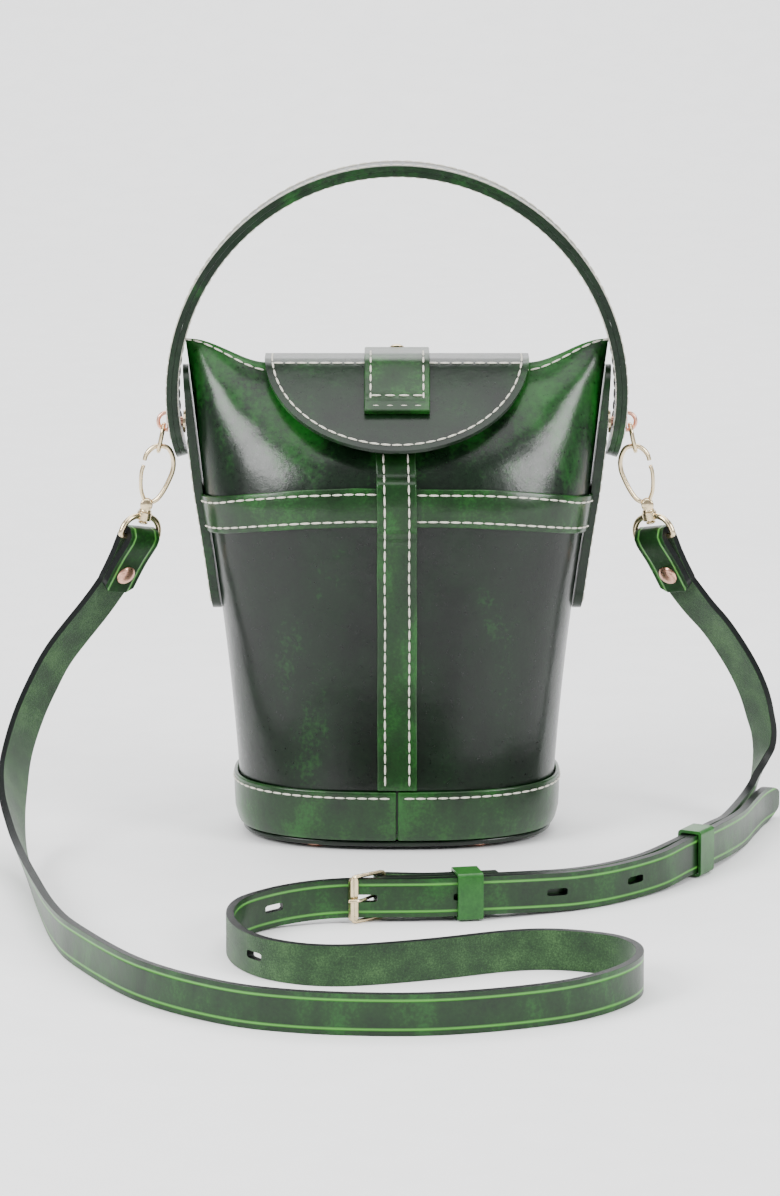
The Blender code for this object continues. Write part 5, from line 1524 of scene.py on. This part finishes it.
class ShoulderStrap:
    """Both strap pieces with their buckle and keepers."""

    half = 8.0
    thick = 3.2
    ply_step = 3.9
    slot_half = 4.5
    slot_pitch = 40.0
    heel = (-5.5, -161.6)
    outer = (-18.2, -172.0)
    height = 10.2
    step = 2.6

    def __init__(self, clips: dict[Side, Clip], finishes: Finishes) -> None:
        """Keep what the strap is made from.

        Args:
            clips: The hardware of each side.
            finishes: The materials.
        """
        self.clips = clips
        self.finishes = finishes
        self.centers: dict[str, list[Vector]] = {}

    def build(self) -> None:
        """Build the strap pieces, their keepers and the buckle."""
        self.long = Route(self.clips[Side.LEFT].fold_stations() + list(LONG_ROUTE))
        self.prong = self.long.find(-12.6, self.long.length - 430.0, self.long.length)
        slots = [(self.prong + index * self.slot_pitch - self.slot_half,
                  self.prong + index * self.slot_pitch + self.slot_half) for index in range(-3, 4)]
        long_strap = self._ribbon("strap_long", self.long, slots, 15.0, False)
        short_route, short_slots = self._short_route()
        short_strap = self._ribbon("strap_short", short_route, short_slots, 0.0, True)
        fixed = self._keeper("keeper_fixed", self.long.find(29.4, self.prong, self.long.length), 3, 10.5, "bag")
        sliding = self._keeper("keeper_sliding", self.long.find(127.8, self.prong, self.long.length), 2, 13.0,
                               "keeper")
        buckle = self._buckle()
        for item, nodes, side in ((long_strap, ("strap_long", "strap_fold_left"), Side.LEFT),
                                  (short_strap, ("strap_short", "strap_fold_right"), Side.RIGHT)):
            ClosingFlap._apply(item)
            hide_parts(*nodes)
            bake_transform(item)
        LOG.info("strap built, %.0f and %.0f mm long", self.long.length, short_route.length)

    def _beside(self, distance: float, offset: float) -> tuple[float, ...]:
        """Station beside the long strap on the bag's side."""
        center, along, _ = self.long.read(distance)
        flat = Vector((along.x, along.y, 0.0)).normalized()
        point = center + Vector((-flat.y, flat.x, 0.0)) * offset
        return (*point, 0.0, 0.0, 1.0)

    def _short_route(self) -> tuple[Route, list[tuple[float, float]]]:
        """Route of the short strap: its folded end, the run beside the long strap and the buckle turn."""
        end = self.long.length
        join = self.long.find(145.5, self.prong, end)
        heel = self.long.find(self.heel[0], self.prong - 30.0, self.prong + 60.0)
        stations = self.clips[Side.RIGHT].fold_stations() + list(SHORT_ROUTE)
        stations += [self._beside(distance, self.ply_step) for distance in spread(join, heel + 16.0, 9)]
        wrap = 1.0 + 0.35 + 1.6
        for degrees in (-90, -135, -180, -225, -270):
            angle = math.radians(degrees)
            stations.append((self.heel[0] + wrap * math.cos(angle), self.heel[1] + wrap * math.sin(angle),
                             self.height, 0.0, 0.0, 1.0))
        tail = self.long.find(43.0, self.prong, end)
        stations += [self._beside(distance, 2.0 * self.ply_step) for distance in spread(heel + 16.0, tail, 3)]
        route = Route(stations)
        bend = route.find(self.heel[0] - wrap, route.length - 80.0, route.length)
        return route, [(bend - 9.0, bend + 9.0)]

    def _marks(self, route: Route, slots: Sequence[tuple[float, float]], taper: float) -> list[float]:
        """Distances of the ribbon's rows."""
        marks = set(spread(0.0, route.length, round(route.length / self.step)))
        if taper > 0.0:
            marks.update(route.length - taper * share for share in (0.05, 0.12, 0.25, 0.4, 0.6, 0.8))
        for start, end in slots:
            marks = {mark for mark in marks if not start - 1.2 < mark < end + 1.2}
            marks.update((start, start + 0.4, start + 1.2, end - 1.2, end - 0.4, end))
            marks.update(spread(start + 1.2, end - 1.2, max(round((end - start) / 2.0), 2)))
        return sorted(marks)

    def _ribbon(self, name: str, route: Route, slots: Sequence[tuple[float, float]], taper: float,
                flip: bool) -> bpy.types.Object:
        """Build one strap piece with its grain, edge and flesh sides.

        Args:
            name: Name of the piece.
            route: Where it lies.
            slots: Start and end of each buckle slot.
            taper: Length of its narrowing tip.
            flip: Whether the grain is on the other side of the route.

        Returns:
            The piece.
        """
        marks = self._marks(route, slots, taper)
        rows, centers, columns = [], [], []
        for mark in marks:
            center, along, across = route.read(mark)
            left = route.length - mark
            half = self.half
            if 0.0 < taper and left < taper:
                half = 2.6 + (self.half - 2.6) * math.sqrt(max(left / taper, 0.0))
            if mark < 3.0:
                half = min(half, 5.0 + math.sqrt(max(9.0 - (3.0 - mark) ** 2, 0.0)))
            lowest = center.z - half * abs(across.z) - self.thick / 2.0 * abs(along.cross(across).z)
            center.z += max(0.03 - lowest, 0.0)
            hole = self._hole(mark, slots)
            offsets = (-half, -half * 0.93, -half * 0.7, -hole, hole, half * 0.7, half * 0.93, half)
            rows.append([center + across * offset for offset in offsets])
            columns.append(offsets)
            centers.append(center)
        mesh = self._ribbon_mesh(name, rows, marks, columns, slots, flip)
        item = Maker.add(name, mesh, self.finishes.strap)
        self.centers[item.name] = centers
        thicken = item.modifiers.new("thickness", "SOLIDIFY")
        thicken.thickness = self.thick * MM
        thicken.offset = 0.0
        thicken.material_offset_rim = 1
        thicken.material_offset = 2
        bevel = item.modifiers.new("rounding", "BEVEL")
        bevel.width = 0.55 * MM
        bevel.segments = 2
        bevel.limit_method = "ANGLE"
        bevel.angle_limit = math.radians(55.0)
        item.modifiers.new("normals", "WEIGHTED_NORMAL")
        return item

    def _hole(self, mark: float, slots: Sequence[tuple[float, float]]) -> float:
        """Half width of the middle column: wide inside a slot and narrow elsewhere."""
        for start, end in slots:
            if start - 0.01 <= mark <= end + 0.01:
                inside = min(mark - start, end - mark)
                return 0.95 + 0.55 * math.sqrt(min(max(inside / 1.2, 0.0), 1.0))
        return 0.95

    def _ribbon_mesh(self, name: str, rows: Grid, marks: Sequence[float], columns: Sequence[Sequence[float]],
                     slots: Sequence[tuple[float, float]], flip: bool) -> bpy.types.Mesh:
        """Make the ribbon's middle surface with its route coordinates."""
        work = bmesh.new()
        layer = work.loops.layers.uv.new("route")
        grid = [[work.verts.new(point) for point in row] for row in rows]
        middle_column = 3
        for row in range(len(grid) - 1):
            middle = (marks[row] + marks[row + 1]) / 2.0
            cut = any(start < middle < end for start, end in slots)
            for column in range(len(grid[0]) - 1):
                if cut and column == middle_column:
                    continue
                keys = [(row, column), (row + 1, column), (row + 1, column + 1), (row, column + 1)]
                if flip:
                    keys.reverse()
                face = work.faces.new([grid[r][c] for r, c in keys])
                for loop, (r, c) in zip(face.loops, keys):
                    loop[layer].uv = (marks[r] * MM, columns[r][c] * MM)
        mesh = bpy.data.meshes.new(name)
        work.to_mesh(mesh)
        work.free()
        return mesh

    def _keeper(self, name: str, distance: float, plies: int, width: float, body: str) -> bpy.types.Object:
        """Build a keeper loop round a number of plies."""
        center, along, _ = self.long.read(distance)
        flat = Vector((along.x, along.y, 0.0)).normalized()
        away = Vector((-flat.y, flat.x, 0.0))
        spin = Matrix((away, Vector((0.0, 0.0, 1.0)), flat)).transposed()
        if spin.determinant() < 0.0:
            spin = Matrix((away, Vector((0.0, 0.0, 1.0)), -flat)).transposed()
        half = ((self.thick + (plies - 1) * self.ply_step) / 2.0 + 0.5, self.half + 0.4)
        middle = center + away * (plies - 1) * self.ply_step / 2.0
        item = Maker.loop(name, half, 1.4, width, spin, middle, self.finishes.keeper)
        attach(item, body)
        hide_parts(name)
        return item

    def _buckle(self) -> list[bpy.types.Object]:
        """Build the buckle's frame, its wide outer bar and its prong."""
        heel = Vector((*self.heel, self.height))
        outer = Vector((*self.outer, self.height))
        toward = (outer - heel).normalized()
        up = Vector((0.0, 0.0, 1.0))
        half = 9.3
        corners = [(heel, 0.0, -half + 1.4), (heel, 0.0, half - 1.4), (heel, 0.5, half - 0.3), (heel, 1.6, half),
                   (outer, -1.6, half), (outer, -0.5, half - 0.3), (outer, 0.0, half - 1.4), (outer, 0.0, -half + 1.4),
                   (outer, -0.5, -half + 0.3), (outer, -1.6, -half), (heel, 1.6, -half), (heel, 0.5, -half + 0.3)]
        points = [base + toward * shift + up * rise for base, shift, rise in corners]
        gold = self.finishes.gold
        loop = Maker.wire("buckle_frame", points, 0.85, gold, closed=True)
        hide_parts("buckle_frame")
        spin = Matrix((toward, up, toward.cross(up))).transposed()
        bar = Maker.loop("buckle_bar", (0.01, 7.2), 1.9, 1.5, spin, outer - toward * 0.4, gold, 0.5)
        arm = [(-7.6, -163.0), (-10.2, -166.0), (-13.2, -171.0), (-16.2, -174.3), (-19.8, -174.6)]
        line = smooth([(x, y, self.height) for x, y in reversed(arm)], 5)
        line += [(*(heel + Vector((1.95 * math.cos(math.radians(angle)), 1.95 * math.sin(math.radians(angle)), 0.0))),)
                 for angle in spread(215.0, -70.0, 18)]
        prong = Maker.wire("buckle_prong", line, 0.65, gold)
        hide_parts("buckle_prong")
        for item, body in ((loop, "bag"), (bar, "bag"), (prong, "prong")):
            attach(item, body)
        return [loop, bar, prong]


# ---------------------------------------------------------------- the rest

class SmallParts:
    """CAD nodes that stay as they are and only take a finish."""

    def __init__(self, finishes: Finishes) -> None:
        """Keep the materials."""
        self.finishes = finishes

    def build(self) -> None:
        """Give each kept node its material."""
        kept = {"base_board": self.finishes.board, "magnet_upper": self.finishes.steel,
                "magnet_lower": self.finishes.steel, "handle_washer_left": self.finishes.gold,
                "handle_washer_right": self.finishes.gold, "gate_pin_left": self.finishes.gold,
                "gate_pin_right": self.finishes.gold}
        kept.update({f"foot_stud_{number}": self.finishes.copper for number in range(1, 5)})
        for name, finish in kept.items():
            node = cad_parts[name]
            node.data.materials.clear()
            node.data.materials.append(finish)
        LOG.info("%d small parts finished", len(kept))


class Studio:
    """Camera, lights and floor."""

    def build_camera(self) -> None:
        """Place the camera in front of the bag, looking a little down."""
        camera = bpy.data.cameras.new("camera")
        camera.sensor_width = 36.0
        camera.lens = 150.5
        item = bpy.data.objects.new("camera", camera)
        item.location = (-0.003, -2.142, 0.511)
        item.rotation_euler = (math.radians(90.0 - 10.81), 0.0, 0.0)
        bpy.context.scene.collection.objects.link(item)
        bpy.context.scene.camera = item

    def build_light(self) -> None:
        """Light the bag with soft panels and a pale surround."""
        world = bpy.data.worlds.new("studio")
        world.use_nodes = True
        back = world.node_tree.nodes["Background"]
        back.inputs["Color"].default_value = (0.94, 0.96, 1.0, 1.0)
        back.inputs["Strength"].default_value = 0.40
        bpy.context.scene.world = world
        for name, place, size, power in (
                ("key", (-1.1, -0.9, 0.9), 0.7, 30.0), ("fill", (1.2, -0.9, 0.8), 0.6, 22.0),
                ("top", (0.0, -0.1, 1.9), 2.2, 46.0), ("back", (0.0, 2.0, 2.4), 2.6, 110.0)):
            light = bpy.data.lights.new(name, "AREA")
            light.size = size
            light.energy = power
            item = bpy.data.objects.new(name, light)
            item.location = place
            target = Vector((0.0, 3.0, 0.3)) if name == "back" else Vector((0.0, -0.05, 0.12))
            aim = target - Vector(place)
            item.rotation_mode = "QUATERNION"
            item.rotation_quaternion = aim.to_track_quat("-Z", "Y")
            bpy.context.scene.collection.objects.link(item)

    def build_floor(self) -> None:
        """Make the floor that sweeps up behind the bag."""
        work = bmesh.new()
        line = [(-6.0, -0.0001), (2.0, -0.0001)]
        line += [(2.0 + 1.5 * math.sin(angle), 1.5 - 1.5 * math.cos(angle)) for angle in spread(0.1, math.pi / 2, 12)]
        line.append((3.5, 6.0))
        rows = [[work.verts.new((x, y, z)) for x in (-8.0, 8.0)] for y, z in line]
        for row, after in zip(rows, rows[1:]):
            work.faces.new((row[0], row[1], after[1], after[0]))
        mesh = bpy.data.meshes.new("floor")
        work.to_mesh(mesh)
        work.free()
        mesh.shade_smooth()
        mesh.materials.append(Matte("floor_paper", (0.90, 0.90, 0.90), (0.92, 0.92, 0.92), 0.9, 40.0).build())
        item = bpy.data.objects.new("floor", mesh)
        bpy.context.scene.collection.objects.link(item)


def main() -> None:
    """Build every part of the scene in order."""
    logging.basicConfig(level=logging.INFO, format="%(name)s: %(message)s")
    studio = Studio()
    studio.build_camera()
    studio.build_light()
    studio.build_floor()
    finishes = Finishes()
    stitches = StitchTree(finishes.thread)
    shape = ClipShape()
    clips = {side: Clip(side, shape, finishes) for side in Side}
    for clip in clips.values():
        clip.build()
    ShoulderStrap(clips, finishes).build()
    shell = Shell()
    BagBody(shell, finishes, stitches).build()
    flap = ClosingFlap(shell, finishes, stitches)
    flap.build()
    flap.finish_tab()
    CarryHandle(finishes, stitches).build()
    SmallParts(finishes).build()


if __name__ == "__main__":
    main()
